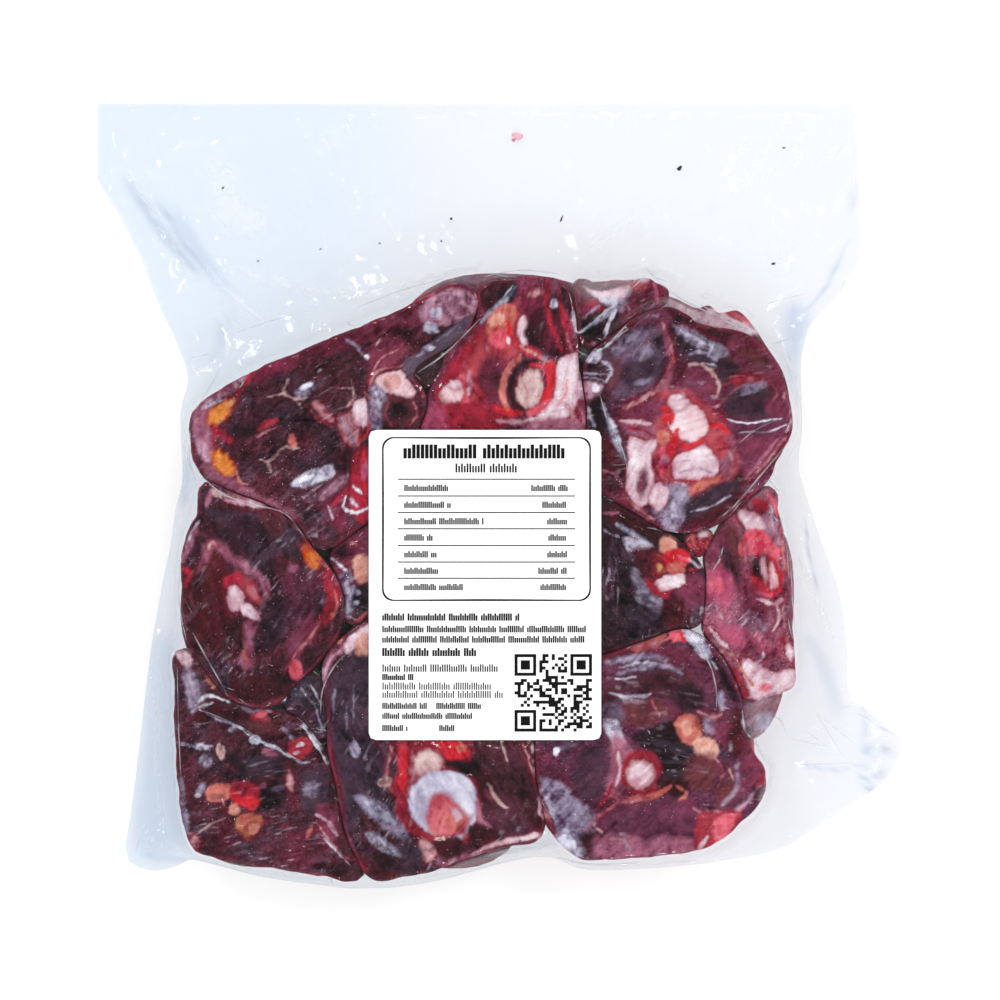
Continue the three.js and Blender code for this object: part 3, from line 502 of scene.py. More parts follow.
middleLeft = dict(
    name="chop_middle_left", height=42.4, lean=(0.006, -0.012), muscle="dark", grain=80, seed=41,
    outline=[
        (-117.6, 0.6), (-106, -3.4), (-92.8, -8.8), (-82, -17), (-75.2, -28), (-67.2, -36), (-64, -45),
        (-66.6, -56), (-73.6, -65), (-79.6, -74), (-86, -80.8), (-95.2, -84.6), (-105.6, -82.6),
        (-114.4, -73.6), (-121.2, -63), (-126, -52.4), (-127.6, -40), (-128, -28), (-124.8, -16),
        (-120.6, -6.6),
    ],
    features=[
        patch("greyDark", -118, -6, -110, -9, -96, -10, -84, -14, -79.5, -22, -81.5, -28, -88, -22, -100,
              -12, -114, -12),
        patch("redBrown", -97, -8.5, -87.5, -11, -87, -18.5, -93, -18.5, strength=0.8),
        patch("purple", -87, -33, -73, -34.5, -71, -44, -75, -52.5, -84, -54.5, -87, -44, strength=0.5),
        patch("deep", -115, -14, -100, -11, -91, -20, -91, -36.5, -95, -35, -106, -22, -113, -20),
        patch("deep", -123, -24, -118.5, -20, -117.5, -28, -121.5, -32.5),
        patch("redMuscle", -124.5, -32, -111, -22, -108.5, -32, -103.5, -38, -109, -44, -107, -51.5, -102.5,
              -53, -104, -69, -112, -65, -120, -60.5, -125, -48),
        stroke("pinkMeat", 3.6, -117.5, -28.5, -116, -22, -113, -21.5, -107, -27, -101.5, -30.5,
               -96, -35.5),
        stroke("pinkFat", 1.6, -117, -24.5, -114.5, -20.5, -111, -25),
        stroke("pinkMeat", 3.2, -101, -31, -95.5, -35, -93.5, -41, -95, -47),
        stroke("mid", 2, -117.5, -27, -120.5, -33),
        patch("crimson", -110, -35.5, -104, -33, -101, -37.5, -109.5, -39.5),
        patch("wetRed", -104, -37, -99, -35, -96.5, -40, -97, -45, -101.5, -43.5),
        oval("pinkBone", -99.2, -40.8, 2.4, 3.2, 10, strength=0.7),
        oval("fat", -106, -44, 3.6, 5.2, -5),
        oval("fat", -107.2, -41.6, 2, 2.8, strength=0.4),
        patch("fat", -104, -46, -100, -46, -96, -52.5, -103, -50),
        stroke("frost", 1.2, -101, -48, -97, -51.5, strength=0.8),
        patch("pinkMeat", -101.5, -53, -98, -53, -99, -60, -98, -70.5, -102.5, -71.5, -105.5, -68.5, -102.5,
              -65),
        stroke("salmon", 1.2, -103, -64, -100, -70),
        patch("deep", -94.5, -44, -89, -44, -87.5, -60, -95, -65),
        oval("pinkMeat", -83.2, -31.2, 1.8, 1.8, strength=0.8),
        stroke("sinew", 0.6, -81.5, -55, -80, -58),
        patch("mid", -85, -61, -75, -49.5, -73, -55, -80, -64.5, -84, -68.5),
        stroke("pinkFat", 0.9, -86, -72, -72.5, -54),
        patch("coral", -84, -70, -81, -67.5, -79.5, -74, -83, -76.5, strength=0.8),
        patch("deepRed", -108, -76, -84, -75, -80.5, -78, -88, -83, -100, -84.5, -107, -81),
        stroke("red", 1.2, -90, -84.5, -84, -81.5, -79.5, -77),
        stroke("redBrown", 1.2, -95.5, -85, -88, -83.5),
        stroke("pinkMeat", 2.4, -121, -15, -127, -29),
        stroke("frost", 0.8, -120, -12, -123, -17, -125.5, -23.5, strength=0.7),
        stroke("crimson", 2.4, -127, -31.5, -124, -34, -125.5, -38.5),
        stroke("redBrown", 1.2, -122.5, -37.5, -123, -44, -121, -49),
        oval("orangeFat", -75.6, -26.8, 5.8, 3.2, -57),
        stroke("salmon", 1.6, -73, -28.5, -66, -33),
        stroke("pinkMeat", 2, -78, -19, -71, -25),
        patch("crimson", -71.5, -33, -67, -31, -63.5, -44, -70.5, -54.5, -73, -52, -69, -44),
        stroke("pinkFat", 0.9, -67, -32.5, -65, -38.5),
        stroke("salmon", 1.2, -66.5, -40.5, -65, -46.5, -68, -51.5),
        stroke("red", 1.2, -69, -34, -67, -41, -67.5, -47),
        stroke("pinkFat", 0.9, -71.5, -52, -80.5, -66.5),
        stroke("sinew", 3.6, -115.5, -0.5, -95, -7),
        stroke("fat", 2.4, -110, -4, -95, -6.5),
        stroke("lilac", 2, -95, -5.5, -88, -8, -81, -13, strength=0.8),
        stroke("sinew", 1.2, -85, -9, -77, -19.5),
        stroke("pinkMeat", 1.6, -117.5, -6.5, -116, -0.5),
    ],
)
lowerLeft = dict(
    name="chop_lower_left", height=38.6, lean=(0.004, -0.01), muscle="dark", grain=40, seed=53,
    outline=[
        (-129, -67), (-123.6, -68), (-115, -81), (-104, -88.4), (-92, -91), (-78.6, -94.4), (-72.6, -104),
        (-69.4, -114), (-67, -125), (-64.6, -137), (-57, -154), (-68, -155), (-86, -152.8), (-106, -149),
        (-122.6, -145), (-127, -134), (-129.4, -116), (-130.8, -92), (-131, -80),
    ],
    features=[
        patch("maroon", -85, -136, -72, -137, -67, -144, -76, -153, -85, -149, strength=0.6),
        patch("fat", -130, -63, -125, -64.5, -123, -68, -125, -71.5, -129, -68.5),
        oval("coral", -126, -62, 3.6, 2, -10),
        stroke("fat", 1.6, -127, -67.5, -123, -81),
        patch("lilac", -127, -70, -123, -72.5, -120.5, -84, -123, -89.5, -125.5, -84, strength=0.8),
        patch("redMuscle", -122, -66, -118, -68, -119, -73, -122.5, -71.5),
        patch("orangeFlesh", -119, -71, -116, -70, -112.5, -76, -113, -79.5, -117, -78),
        stroke("scarlet", 1.2, -118, -72.5, -115, -75.5),
        oval("peach", -114.4, -78, 1.2, 1.6, -30),
        patch("deepRed", -118.5, -86.5, -110, -84, -95, -89, -100, -93),
        stroke("ice", 1.2, -120.5, -84.5, -117.5, -82, -109, -85),
        stroke("frost", 0.8, -121, -87, -115, -85),
        patch("lilac", -108, -81, -95, -89, -97.5, -90, -104, -87, strength=0.9),
        stroke("frost", 1, -109.5, -81.5, -97.5, -88, -91.5, -89),
        patch("red", -100, -90.5, -95, -88.5, -92.5, -93, -97.5, -94, strength=0.8),
        oval("coral", -96, -90.4, 2.4, 1.4, 10, strength=0.8),
        patch("redBrown", -101, -94, -91, -93, -89, -97, -97.5, -98, strength=0.8),
        stroke("frost", 0.7, -120.5, -88, -115, -91, -105.5, -95, -100, -98.5),
        oval("frost", -107.6, -96, 1.8, 1.2, 20),
        oval("ice", -98, -100.4, 2.2, 1.7),
        stroke("ice", 1, -95.5, -101, -83.5, -107),
        stroke("frost", 0.8, -85, -105, -80, -109, -76, -109.5),
        stroke("lilac", 1.2, -130.5, -101, -124, -103, -115.5, -103),
        oval("frost", -120, -103.2, 3.2, 1.2, -10),
        oval("lilac", -118, -108.8, 2, 2.4, 20),
        oval("sinew", -112, -104.8, 1.6, 3.4, 25),
        stroke("redBrown", 2, -111, -109, -106, -112.5),
        patch("deep", -105.5, -111, -93, -104.5, -85, -106.5, -81.5, -112, -87, -127, -93, -129,
              -99.5, -118,
              -104, -116),
        patch("greyDark", -105, -109, -86.5, -107, -88, -113, -95, -114.5, -102.5, -115, strength=0.6),
        oval("redBrown", -93.6, -116.4, 4.4, 2, strength=0.4),
        oval("hole", -88.4, -112.8, 2.4, 2, strength=0.8),
        oval("pinkMeat", -95.2, -118.4, 1.6, 1.2, strength=0.6),
        oval("grey", -88.8, -119.6, 2.4, 1.2, 20, strength=0.6),
        oval("hole", -92, -124.4, 4.8, 3.2),
        oval("pinkMeat", -92, -105.2, 3, 1.4, -10),
        oval("pinkFat", -84, -116.8, 1.5, 4, 8),
        patch("salmon", -118, -120, -113.5, -117, -109, -118, -107.5, -123, -117, -124.5),
        oval("redBrown", -113.6, -122.8, 3.2, 1.4, strength=0.6),
        stroke("pinkFat", 0.8, -111.5, -123, -109.5, -127.5),
        patch("crimson", -107.5, -117, -101.5, -116.5, -97, -119.5, -96.5, -125, -100, -129, -107.5, -123),
        patch("scarlet", -108, -120, -105, -120.5, -103.5, -126, -107, -124.5),
        oval("crimson", -100.8, -120.4, 3, 2.4, 10, strength=0.9),
        oval("scarlet", -100.4, -125.2, 3.2, 2.8, -20),
        oval("peach", -106.4, -128.4, 2.4, 2.4),
        patch("orangeFlesh", -106, -131, -100, -129.5, -95, -132, -96.5, -137, -101.5, -139.5, -105, -138),
        oval("yellowFat", -104.8, -133.6, 1.6, 2.4, 20, strength=0.6),
        oval("salmon", -103.2, -132.8, 2.4, 2.4, strength=0.8),
        oval("peach", -99.2, -136, 2.4, 2, strength=0.7),
        stroke("sinew", 0.8, -122.5, -139, -116, -134.5, -106, -129.5),
        patch("pinkFat", -128.5, -140, -123, -137.5, -119.5, -141, -121, -144, -127, -144),
        stroke("lilac", 2, -128.5, -115, -125.5, -138.5, strength=0.7),
        oval("lilac", -120, -119.6, 1.6, 2.8, -20, strength=0.9),
        oval("frost", -121.2, -122.4, 1.2, 0.8),
        stroke("lilac", 1.6, -87, -95, -83, -99.5),
        patch("red", -84.5, -101, -77.5, -99, -75.5, -104, -80, -108, -85, -104.5),
        oval("ice", -80, -102, 1.6, 1, 20),
        oval("frost", -81.6, -105.2, 1.2, 0.8),
        stroke("ice", 1.2, -79, -94, -69, -110),
        patch("greyDark", -78.5, -114, -70, -111.5, -67.5, -120, -71.5, -128.5, -77.5, -130.5, -80.5, -122),
        oval("lilac", -75.2, -120, 3.6, 3.2, strength=0.6),
        patch("mid", -73, -126.5, -66.5, -128.5, -64.5, -138.5, -70, -140.5),
        stroke("pinkFrost", 1.2, -74, -130, -69, -133, -65, -138.5),
        stroke("pinkFat", 0.9, -73, -134, -67, -142, -59, -149),
        stroke("ice", 0.6, -70, -140, -63, -147),
        oval("salmon", -76.4, -136.8, 0.8, 2.8, -20, strength=0.7),
        oval("hole", -66.8, -119.6, 1.6, 5.6),
        stroke("frost", 0.6, -66.5, -116.5, -65.5, -123),
    ],
)
lowerMiddle = dict(
    name="chop_lower_middle", height=41.6, lean=(-0.006, 0.004), muscle="dark", grain=95, seed=67,
    outline=[
        (-53.6, -55.6), (-62, -62), (-68.4, -70), (-71, -82), (-68.2, -100), (-64, -116), (-60.8, -134),
        (-57.6, -144), (-50, -154.6), (-40, -155), (-24, -151.6), (-14, -148), (0, -144), (14, -139),
        (15.6, -130), (12.6, -116), (11.4, -102), (9.6, -80), (-4, -60.6), (-28, -50), (-42, -50),
    ],
    features=[
        patch("greyDark", -68, -76, -62, -68, -53, -66.5, -52, -100, -44, -108, -45.5, -120, -56, -128.5,
              -60, -137),
        stroke("lilac", 1.2, -66.5, -80, -67, -93, strength=0.6),
        stroke("lilac", 0.9, -59, -78, -58.5, -93, strength=0.5),
        stroke("lilac", 0.9, -61.5, -84, -61, -97, strength=0.4),
        oval("frost", -58, -104, 1.8, 3.2, strength=0.8),
        stroke("lilac", 1.2, -60.5, -100.5, -57, -107),
        stroke("grey", 1.2, -53.5, -105, -49, -112),
        stroke("pinkMeat", 2.4, -53, -56.5, -62, -62, -68, -68, -71, -76, -72, -86.5),
        stroke("pinkFrost", 1, -62, -61.5, -68, -68, -71, -76, -71.5, -84),
        stroke("salmon", 1.2, -52.5, -51, -60, -56, -65, -61),
        patch("fat", -62.5, -60.5, -57.5, -57, -52.5, -53.5, -52.5, -60, -62, -65),
        patch("peach", -57.5, -60, -52.5, -57, -52.5, -66, -57.5, -66, strength=0.8),
        stroke("mid", 2.4, -72, -86, -65.5, -116, -63, -132, -60, -145),
        stroke("redMuscle", 1.6, -67, -104, -61.5, -138.5),
        patch("dark", -6, -118, 8, -103, 17, -138.5, 4, -140, -4, -133),
        patch("deepRed", 7.5, -120, 16, -124, 17, -137, 12, -133),
        patch("crimson", -41.5, -101, -11, -101, -12, -109, -22, -108.5, -23, -118.5, -32, -121,
              -40, -123.5,
              -43.5, -120.5, -41, -112),
        oval("red", -23.6, -125.6, 16.4, 15.2),
        stroke("pinkFat", 1.2, -43, -102.5, -45, -116.5, -42.5, -121.5),
        oval("sinew", -45.6, -116.8, 2.8, 2, 20),
        stroke("scarlet", 3.6, -39, -102.5, -39, -120),
        patch("scarlet", -25, -101, -16, -101, -11.5, -105, -16, -107.5, -22, -107),
        oval("salmon", -15.2, -103.2, 2, 1.6),
        stroke("pinkFat", 1.2, -35, -104, -36, -111, -35, -116.5),
        oval("pinkFat", -28.8, -110, 7.2, 6.8),
        oval("cord", -28.8, -110, 5.6, 5.6),
        oval("sinew", -28.8, -110, 2, 2, strength=0.4),
        patch("hole", -21, -109.5, -12, -108.5, -7, -112, -12, -115, -18, -113),
        patch("deepRed", -12, -112, -4, -113.5, -3, -124.5, -7, -124.5, -9, -118),
        patch("crimson", -40.5, -120, -35, -122, -36, -129, -29.5, -139.5, -38, -136.5, -42.5, -128),
        stroke("pinkFat", 2.4, -37, -123, -34, -117, -25.5, -114),
        oval("vertebra", -22.8, -125.2, 14, 13.2),
        stroke("vertebra", 2.8, -10.5, -131, -13.5, -137.5, -20, -141),
        stroke("lilac", 1.2, -12, -121, -9.5, -126.5, -11, -132, strength=0.7),
        oval("lilac", -31.2, -126.4, 2.8, 8, 10, strength=0.6),
        patch("marrow", -27, -123, -23.5, -121, -12.5, -132, -15, -137, -21, -139, -26.5, -137.5,
              -29, -133),
        oval("wetRed", -24.4, -124.8, 2.8, 2.8, strength=0.7),
        patch("vertebra", -20, -126.5, -17, -127, -15, -132, -17.5, -133, strength=0.5),
        stroke("salmon", 2, -22.5, -131, -18.5, -135, -15, -133.5, strength=0.8),
        stroke("orangeFlesh", 1.2, -17.5, -137, -14, -133),
        oval("ice", -30.4, -121.2, 1.6, 1.2, strength=0.7),
        stroke("pinkMeat", 2.4, -9, -124, -7.5, -132, -3.5, -135),
        patch("pinkFat", -32.5, -139.5, -28, -140.5, -25, -145, -29, -149, -32.5, -146.5),
        patch("deepRed", -25.5, -141, -16, -139.5, -15, -144, -20, -147.5, -24.5, -146),
        patch("deepRed", -12, -134.5, -4, -135, 1, -139, -12, -140.5),
        patch("crimson", -15.5, -135, -11.5, -138.5, -15, -141, strength=0.8),
        patch("pinkMeat", -26, -147, -19, -148, -11, -144, -15, -149, -21.5, -152),
        stroke("fat", 2, -13, -148, -4, -142.5, 16, -138, 20, -135),
        stroke("pinkFrost", 2, -20, -149.5, -12, -146, -4, -144.5),
        stroke("sinew", 1.2, -5, -117.5, -1, -124, 3.5, -127),
        stroke("mid", 1.6, -6.5, -120, -3, -124.5),
        stroke("sinew", 0.9, 0, -101, 3, -108.5),
        stroke("pinkFat", 0.9, 9, -101, 15, -118.5),
        stroke("sinew", 0.9, 13, -101, 14, -112.5),
        stroke("pinkFrost", 1, 16, -119.5, 16, -128, 19, -134.5),
        patch("lilac", -59.5, -122.5, -47, -125.5, -36, -141, -46.5, -135.5),
        patch("frostGlaze", -57, -123.5, -46.5, -128, -42.5, -133.5, -53.5, -129, strength=0.9),
        stroke("frost", 1, -55, -125, -50.5, -126, -46.5, -129, strength=0.8),
        patch("frostGlaze", -53.5, -137, -49.5, -137, -39, -146.5, -49.5, -143, strength=0.9),
        stroke("frost", 0.8, -49.5, -138.5, -41, -145.5, strength=0.8),
        patch("greyDark", -40, -139.5, -31.5, -144, -31.5, -148.5, -40, -147),
        stroke("redMuscle", 3.2, -59.5, -144.5, -50, -152.5, -39, -155.5),
        stroke("pinkFat", 0.7, -66.5, -138, -61, -146.5, -55, -151),
        stroke("crimson", 1.2, -59, -147.5, -53, -152.5, strength=0.8),
    ],
)
lowerRight = dict(
    name="chop_lower_right", height=42.2, lean=(0.004, -0.004), muscle="purple", grain=20, seed=71,
    outline=[
        (42, -68), (60, -61.6), (72.8, -57.6), (81.2, -62), (88.6, -70.6), (93, -80), (96.4, -92),
        (101, -104), (106, -113), (105, -124), (96.8, -132.6), (86.4, -141.6), (76, -145.4), (60, -147),
        (40, -148.2), (30.4, -147), (24.6, -139.2), (19.4, -128.8), (16.6, -116), (16.4, -100), (21.4, -84),
        (30.4, -73),
    ],
    features=[
        patch("redMuscle", 41, -60.5, 56, -56.5, 64.5, -55, 62.5, -60.5, 52, -64.5, 41, -67.5),
        stroke("scarlet", 1.6, 47.5, -62, 56, -58.5, 65, -56.5),
        patch("salmon", 51, -63, 67, -58, 62, -63.5, 54, -65),
        stroke("pinkFat", 1.2, 51.5, -64, 67, -59.5),
        oval("coral", 70.4, -58.4, 3.2, 2, 10),
        stroke("scarlet", 1.2, 72, -56.5, 74, -61),
        patch("mid", 56, -64.5, 70, -61.5, 76.5, -66, 81, -76, 78.5, -84, 72, -76, 64, -68),
        patch("dark", 41, -78, 56, -73.5, 72, -71.5, 80.5, -80, 82.5, -90.5, 76, -90.5, 68, -84, 56, -83.5,
              41, -84.5),
        patch("purple", 76, -68, 82.5, -74, 85, -84, 83, -89, 80, -80),
        patch("deep", 71, -78, 80, -79.5, 80.5, -88.5, 72, -87.5),
        stroke("lilac", 2.4, 42.5, -69, 60, -66.5, 67, -68),
        stroke("frost", 1.2, 47.5, -71.5, 56, -69, 62.5, -69.5),
        stroke("lilac", 1.6, 47, -74, 56, -71, 68, -70.5, 73, -73),
        stroke("ice", 0.7, 46, -75.5, 54.5, -75),
        stroke("frost", 0.7, 43.5, -81.5, 52, -83, 60.5, -81.5),
        stroke("lilac", 1, 49.5, -83.5, 58.5, -82.5),
        patch("redBrown", 48.5, -86, 66, -85, 68.5, -90, 62, -93, 56, -95.5, 51, -93),
        stroke("pinkFat", 0.8, 60.5, -84, 63.5, -90.5),
        patch("grey", 41, -86, 47, -85, 49, -91.5, 41.5, -91),
        patch("frost", 41, -92, 46.5, -92.5, 49, -99, 52.5, -104.5, 49, -107),
        stroke("lilac", 2, 45, -95, 49, -102, strength=0.9),
        patch("greyDark", 31.5, -106, 40, -103.5, 43.5, -112, 41.5, -122.5, 36, -125, 29.5, -120,
              strength=0.7),
        patch("pinkMeat", 44.5, -98, 51, -101, 53, -108, 49, -116.5, 46.5, -124.5, 42, -120, 45, -110),
        stroke("fat", 1.6, 47, -104.5, 48, -112, 46, -118.5),
        stroke("pinkFat", 1.2, 42, -121.5, 47.5, -124.5),
        patch("hole", 52.5, -99, 60, -95.5, 69, -92.5, 77, -108, 68, -120.5, 64.5, -116.5, 63.5, -108),
        oval("crimson", 56.4, -113.2, 8.4, 9.2),
        oval("crimson", 62.8, -119.6, 4, 2.4, 20),
        oval("deepRed", 64.8, -116.8, 2.4, 3.6),
        oval("cord", 56, -113.6, 5.8, 6),
        oval("fat", 56, -113.6, 5, 5.2),
        patch("salmon", 70, -93, 76, -90, 79.5, -93, 80.5, -99, 76, -102, 71, -98.5),
        oval("peach", 74.4, -95.2, 2.4, 2.8),
        patch("peach", 77.5, -100.5, 85, -99.5, 88, -105, 83, -109, 79, -106),
        stroke("orangeFlesh", 1.6, 79, -91, 81, -95.5),
        patch("lilac", 82, -91, 85.5, -90, 87, -95.5, 84, -97),
        patch("mid", 85, -92, 91, -92.5, 96.5, -98, 92, -102.5, 86, -99.5),
        oval("ice", 92.4, -102.4, 0.7, 1.6),
        patch("redBrown", 75, -108, 82.5, -105.5, 87, -111, 85, -119, 80, -120.5, 74, -117),
        oval("purple", 90.4, -112.8, 4, 4.8),
        stroke("pinkFat", 0.9, 85, -106, 89, -112, 87, -119.5),
        stroke("sinew", 0.8, 91, -111, 93, -116.5),
        patch("deepRed", 65, -117, 73.5, -115.5, 76.5, -121, 68, -122.5),
        stroke("salmon", 2.4, 51, -123.5, 60, -123, 68.5, -118.5),
        stroke("salmon", 1.6, 70.5, -118.5, 75, -121.5, 72, -124.5),
        patch("redBrown", 88, -118, 98.5, -115.5, 94.5, -124, 86, -126.5),
        patch("lilac", 17, -115.5, 24, -116.5, 30.5, -123.5, 36.5, -127.5, 39, -134, 34.5, -141,
              28, -142.5),
        stroke("frost", 2, 17.5, -119.5, 25, -138.5),
        patch("frost", 23, -135.5, 30, -137.5, 35, -144, 32, -147.5, 24.5, -147),
        oval("ice", 26.4, -141.6, 4, 3.6, 20),
        stroke("grey", 2, 22.5, -105, 30.5, -102),
        oval("ice", 22.8, -104.8, 1.4, 1.8),
        stroke("pinkFat", 1.2, 14, -115.5, 17, -126, 22.5, -136.5, strength=0.9),
        patch("purple", 41.5, -130.5, 64, -123.5, 74.5, -125.5, 81, -132, 76, -138.5, 56, -139.5,
              41.5, -134.5),
        stroke("pinkFat", 1.2, 35.5, -135.5, 41.5, -129, 49, -125, 58.5, -123.5),
        stroke("pinkFat", 0.9, 77, -127, 82.5, -130),
        stroke("crimson", 1.2, 39, -128.5, 42.5, -123, 44.5, -117.5),
        stroke("sinew", 0.9, 38, -133.5, 43, -139),
        patch("redMuscle", 31.5, -139, 38, -136, 39, -144.5, 34.5, -147),
        patch("pinkMeat", 38.5, -138.5, 56, -139.5, 76, -139.5, 81, -144.5, 56, -147, 38.5, -147),
        stroke("lilac", 1.2, 50, -140.5, 51.5, -145, strength=0.6),
        patch("red", 80, -129, 94, -128.5, 98.5, -125.5, 92.5, -138.5, 86, -144.5, 79, -145),
        patch("coral", 86, -132, 94, -129.5, 91.5, -138.5, 86.5, -141, strength=0.8),
        stroke("fat", 1.6, 79.5, -144, 83.5, -139),
        stroke("pinkFrost", 2, 95, -129, 102, -121, 107.5, -111.5),
        stroke("crimson", 3.2, 103, -118.5, 106.5, -112, 103, -107),
        patch("mid", 95, -112, 100, -104, 104.5, -114, 98, -120.5, 94, -120.5),
        stroke("lilac", 1.6, 95, -107.5, 94, -120, 88.5, -126.5, strength=0.6),
        patch("redMuscle", 95, -84, 98.5, -102.5, 94, -108.5, 91.5, -100),
        patch("frost", 73, -56, 79, -56.5, 85, -68, 81, -67),
        oval("ice", 78.8, -60, 2.8, 1.6, -20),
        stroke("hole", 2.4, 85.5, -67.5, 95, -84.5),
        stroke("frost", 0.9, 83, -67, 87, -71.5),
        stroke("frost", 0.9, 97, -92, 99, -98, 103.5, -103.5),
        stroke("pinkFat", 1.2, 79.5, -89, 86.5, -91, 89, -89),
        oval("lilac", 88.8, -84.4, 1.6, 3.2),
    ],
)
middleRight = dict(
    name="chop_middle_right", height=38.4, lean=(-0.03, -0.01), muscle="pinkMeat", grain=75, seed=83,
    outline=[
        (101.4, -5.6), (107.6, -1.4), (111.4, -6.6), (114, -20), (116.4, -40), (118, -64), (118, -79),
        (110, -82), (100.4, -82.6), (95.8, -72.8), (89.8, -63.4), (84, -55.4), (84.2, -44), (84.8, -33),
        (83.6, -25), (92.6, -13.4),
    ],
    features=[
        patch("mid", 81, -20.5, 86, -15.5, 91.5, -15, 93, -28, 88, -30.5, 82, -26.5),
        stroke("scarlet", 2, 76.5, -22.5, 83, -14),
        stroke("fat", 2, 79.5, -18.5, 83, -14, 87, -12.5),
        patch("deep", 89.5, -23, 94.5, -26, 97, -34, 96.5, -40.5, 92, -37),
        patch("redBrown", 91, -13.5, 95.5, -16, 97, -28, 94.5, -32),
        stroke("pinkFat", 1.2, 95, -13.5, 100.5, -18.5),
        patch("fat", 95, -7, 107, -13, 104.5, -16.5, 98, -14.5),
        patch("pinkFrost", 105.5, -3.5, 113, -22.5, 109, -20.5, 105, -12),
        patch("crimson", 100.5, -4, 106, -3, 107.5, -8, 103, -9),
        stroke("coral", 1.2, 106, 0.5, 109, -4, 111.5, -10.5),
        stroke("frost", 0.8, 108, -5.5, 111, -12.5),
        patch("coral", 96.5, -19, 102.5, -15, 111.5, -24, 111, -29, 104, -28.5, 100, -25, 96.5, -26.5),
        stroke("pinkFat", 1.6, 97.5, -19.5, 99, -28.5),
        oval("scarlet", 107.2, -35.2, 6, 8.4, 8),
        oval("hole", 104.8, -31.2, 3.6, 5.2, 10),
        oval("crimson", 103.2, -39.2, 3.2, 3.2),
        oval("fat", 106, -32, 1.8, 4.6, 12),
        oval("bone", 109.4, -34.8, 1.7, 5, 8),
        stroke("coral", 1.6, 102, -41, 107, -43, 112.5, -40),
        patch("magenta", 82, -36, 87, -31, 93, -34, 94.5, -41, 91, -46.5, 82, -42),
        oval("coral", 87.2, -38, 3.6, 3.6, strength=0.5),
        stroke("pinkFrost", 1, 86, -46, 90, -51.5),
        patch("mid", 97, -33.5, 102.5, -39.5, 108.5, -46, 104, -54.5, 97.5, -48),
        stroke("lilac", 1.6, 100, -48, 106.5, -56.5, strength=0.5),
        patch("mid", 94, -54, 101, -59.5, 104.5, -68, 98, -66.5, 93.5, -62),
        patch("magenta", 87.5, -54, 96.5, -55, 98.5, -62.5, 91, -62.5),
        stroke("fat", 1.6, 83.5, -55, 93, -64.5),
        stroke("pinkFat", 1.6, 87.5, -64, 100.5, -68.5),
        patch("fat", 97, -67.5, 110.5, -73, 117, -71, 119, -80.5, 99.5, -83.5, 97.5, -76),
        oval("coral", 106.4, -79.2, 2.8, 1.6, strength=0.8),
        patch("crimson", 91.5, -69, 97, -76, 100.5, -82, 96, -83.5),
        stroke("salmon", 1.2, 94.5, -67.5, 97, -73, 101, -78),
        stroke("fat", 2, 103.5, -44, 110, -45.5, 113.5, -43.5),
        stroke("fat", 1.6, 110.5, -45, 112, -51, 109, -56.5),
        stroke("pinkFat", 1, 115, -41.5, 113.5, -48, 115.5, -60.5),
        patch("crimson", 112.5, -58, 116.5, -62, 117, -68.5, 114.5, -66.5),
        oval("fat", 115.6, -64, 1.4, 3.6, 10),
        oval("ice", 105.4, -66.4, 0.7, 2),
        stroke("salmon", 1, 112, -15.5, 116.5, -44.5),
    ],
)
centreRight = dict(
    name="chop_centre_right", height=39.4, lean=(-0.01, 0), muscle="deep", grain=120, seed=97,
    outline=[
        (42, -4.8), (55, -12.4), (66, -19.4), (77.4, -26), (80, -34), (80.4, -44), (78.4, -53), (69, -54.4),
        (60, -57.8), (42, -64), (24, -66), (14.6, -44), (17.6, -16), (30, -6),
    ],
    features=[
        patch("deepRed", 41, -5.5, 66.5, -15.5, 66, -22.5, 56, -17, 41, -10.5),
        stroke("pinkMeat", 1.2, 41, -9, 47, -9),
        stroke("frostGlaze", 1.6, 47, -13.5, 60.5, -22.5),
        patch("frost", 49, -19, 56, -20, 61, -23, 51.5, -24.5),
        stroke("lilac", 1.2, 42, -16, 47.5, -18.5),
        patch("redMuscle", 52.5, -24.5, 61.5, -23, 63, -32, 60, -35.5),
        patch("lilac", 53, -31, 60, -39, 65, -42, 62.5, -51, 56, -40.5, 53, -38.5, strength=0.6),
        oval("frost", 58, -43.2, 4, 2.8, -40, strength=0.4),
        patch("greyDark", 51.5, -47, 62, -48, 61, -54.5, 53, -56.5),
        patch("mid", 70.5, -36, 80, -33, 82.5, -44, 76, -48, 70.5, -44),
        patch("redMuscle", 65.5, -44.5, 72, -44, 76.5, -50, 72, -56.5, 67, -54.5),
        patch("peach", 64.5, -19.5, 69.5, -19.5, 71, -24, 67, -27, 64.5, -25),
        patch("orangeFlesh", 62.5, -25.5, 66.5, -26, 67, -33, 63, -34.5),
        oval("orangeFlesh", 64, -30.4, 2, 3.2),
        oval("yellowFat", 64, -30.8, 1, 1.6, strength=0.7),
        patch("scarlet", 67, -24.5, 73, -23.5, 76.5, -27, 73.5, -31, 65.5, -30),
        patch("salmon", 67, -29.5, 73.5, -28.5, 74, -33, 69, -34),
        stroke("coral", 1.6, 71.5, -26, 76.5, -29),
        patch("fat", 62, -37.5, 73, -33, 74, -37, 63.5, -40.5),
        patch("crimson", 58, -35, 62.5, -37, 65, -41, 69.5, -40, 67, -43.5, 61, -41),
        stroke("crimson", 1.2, 75.5, -32, 86, -30.5),
        stroke("frost", 1.2, 75.5, -27.5, 80.5, -31.5),
    ],
)
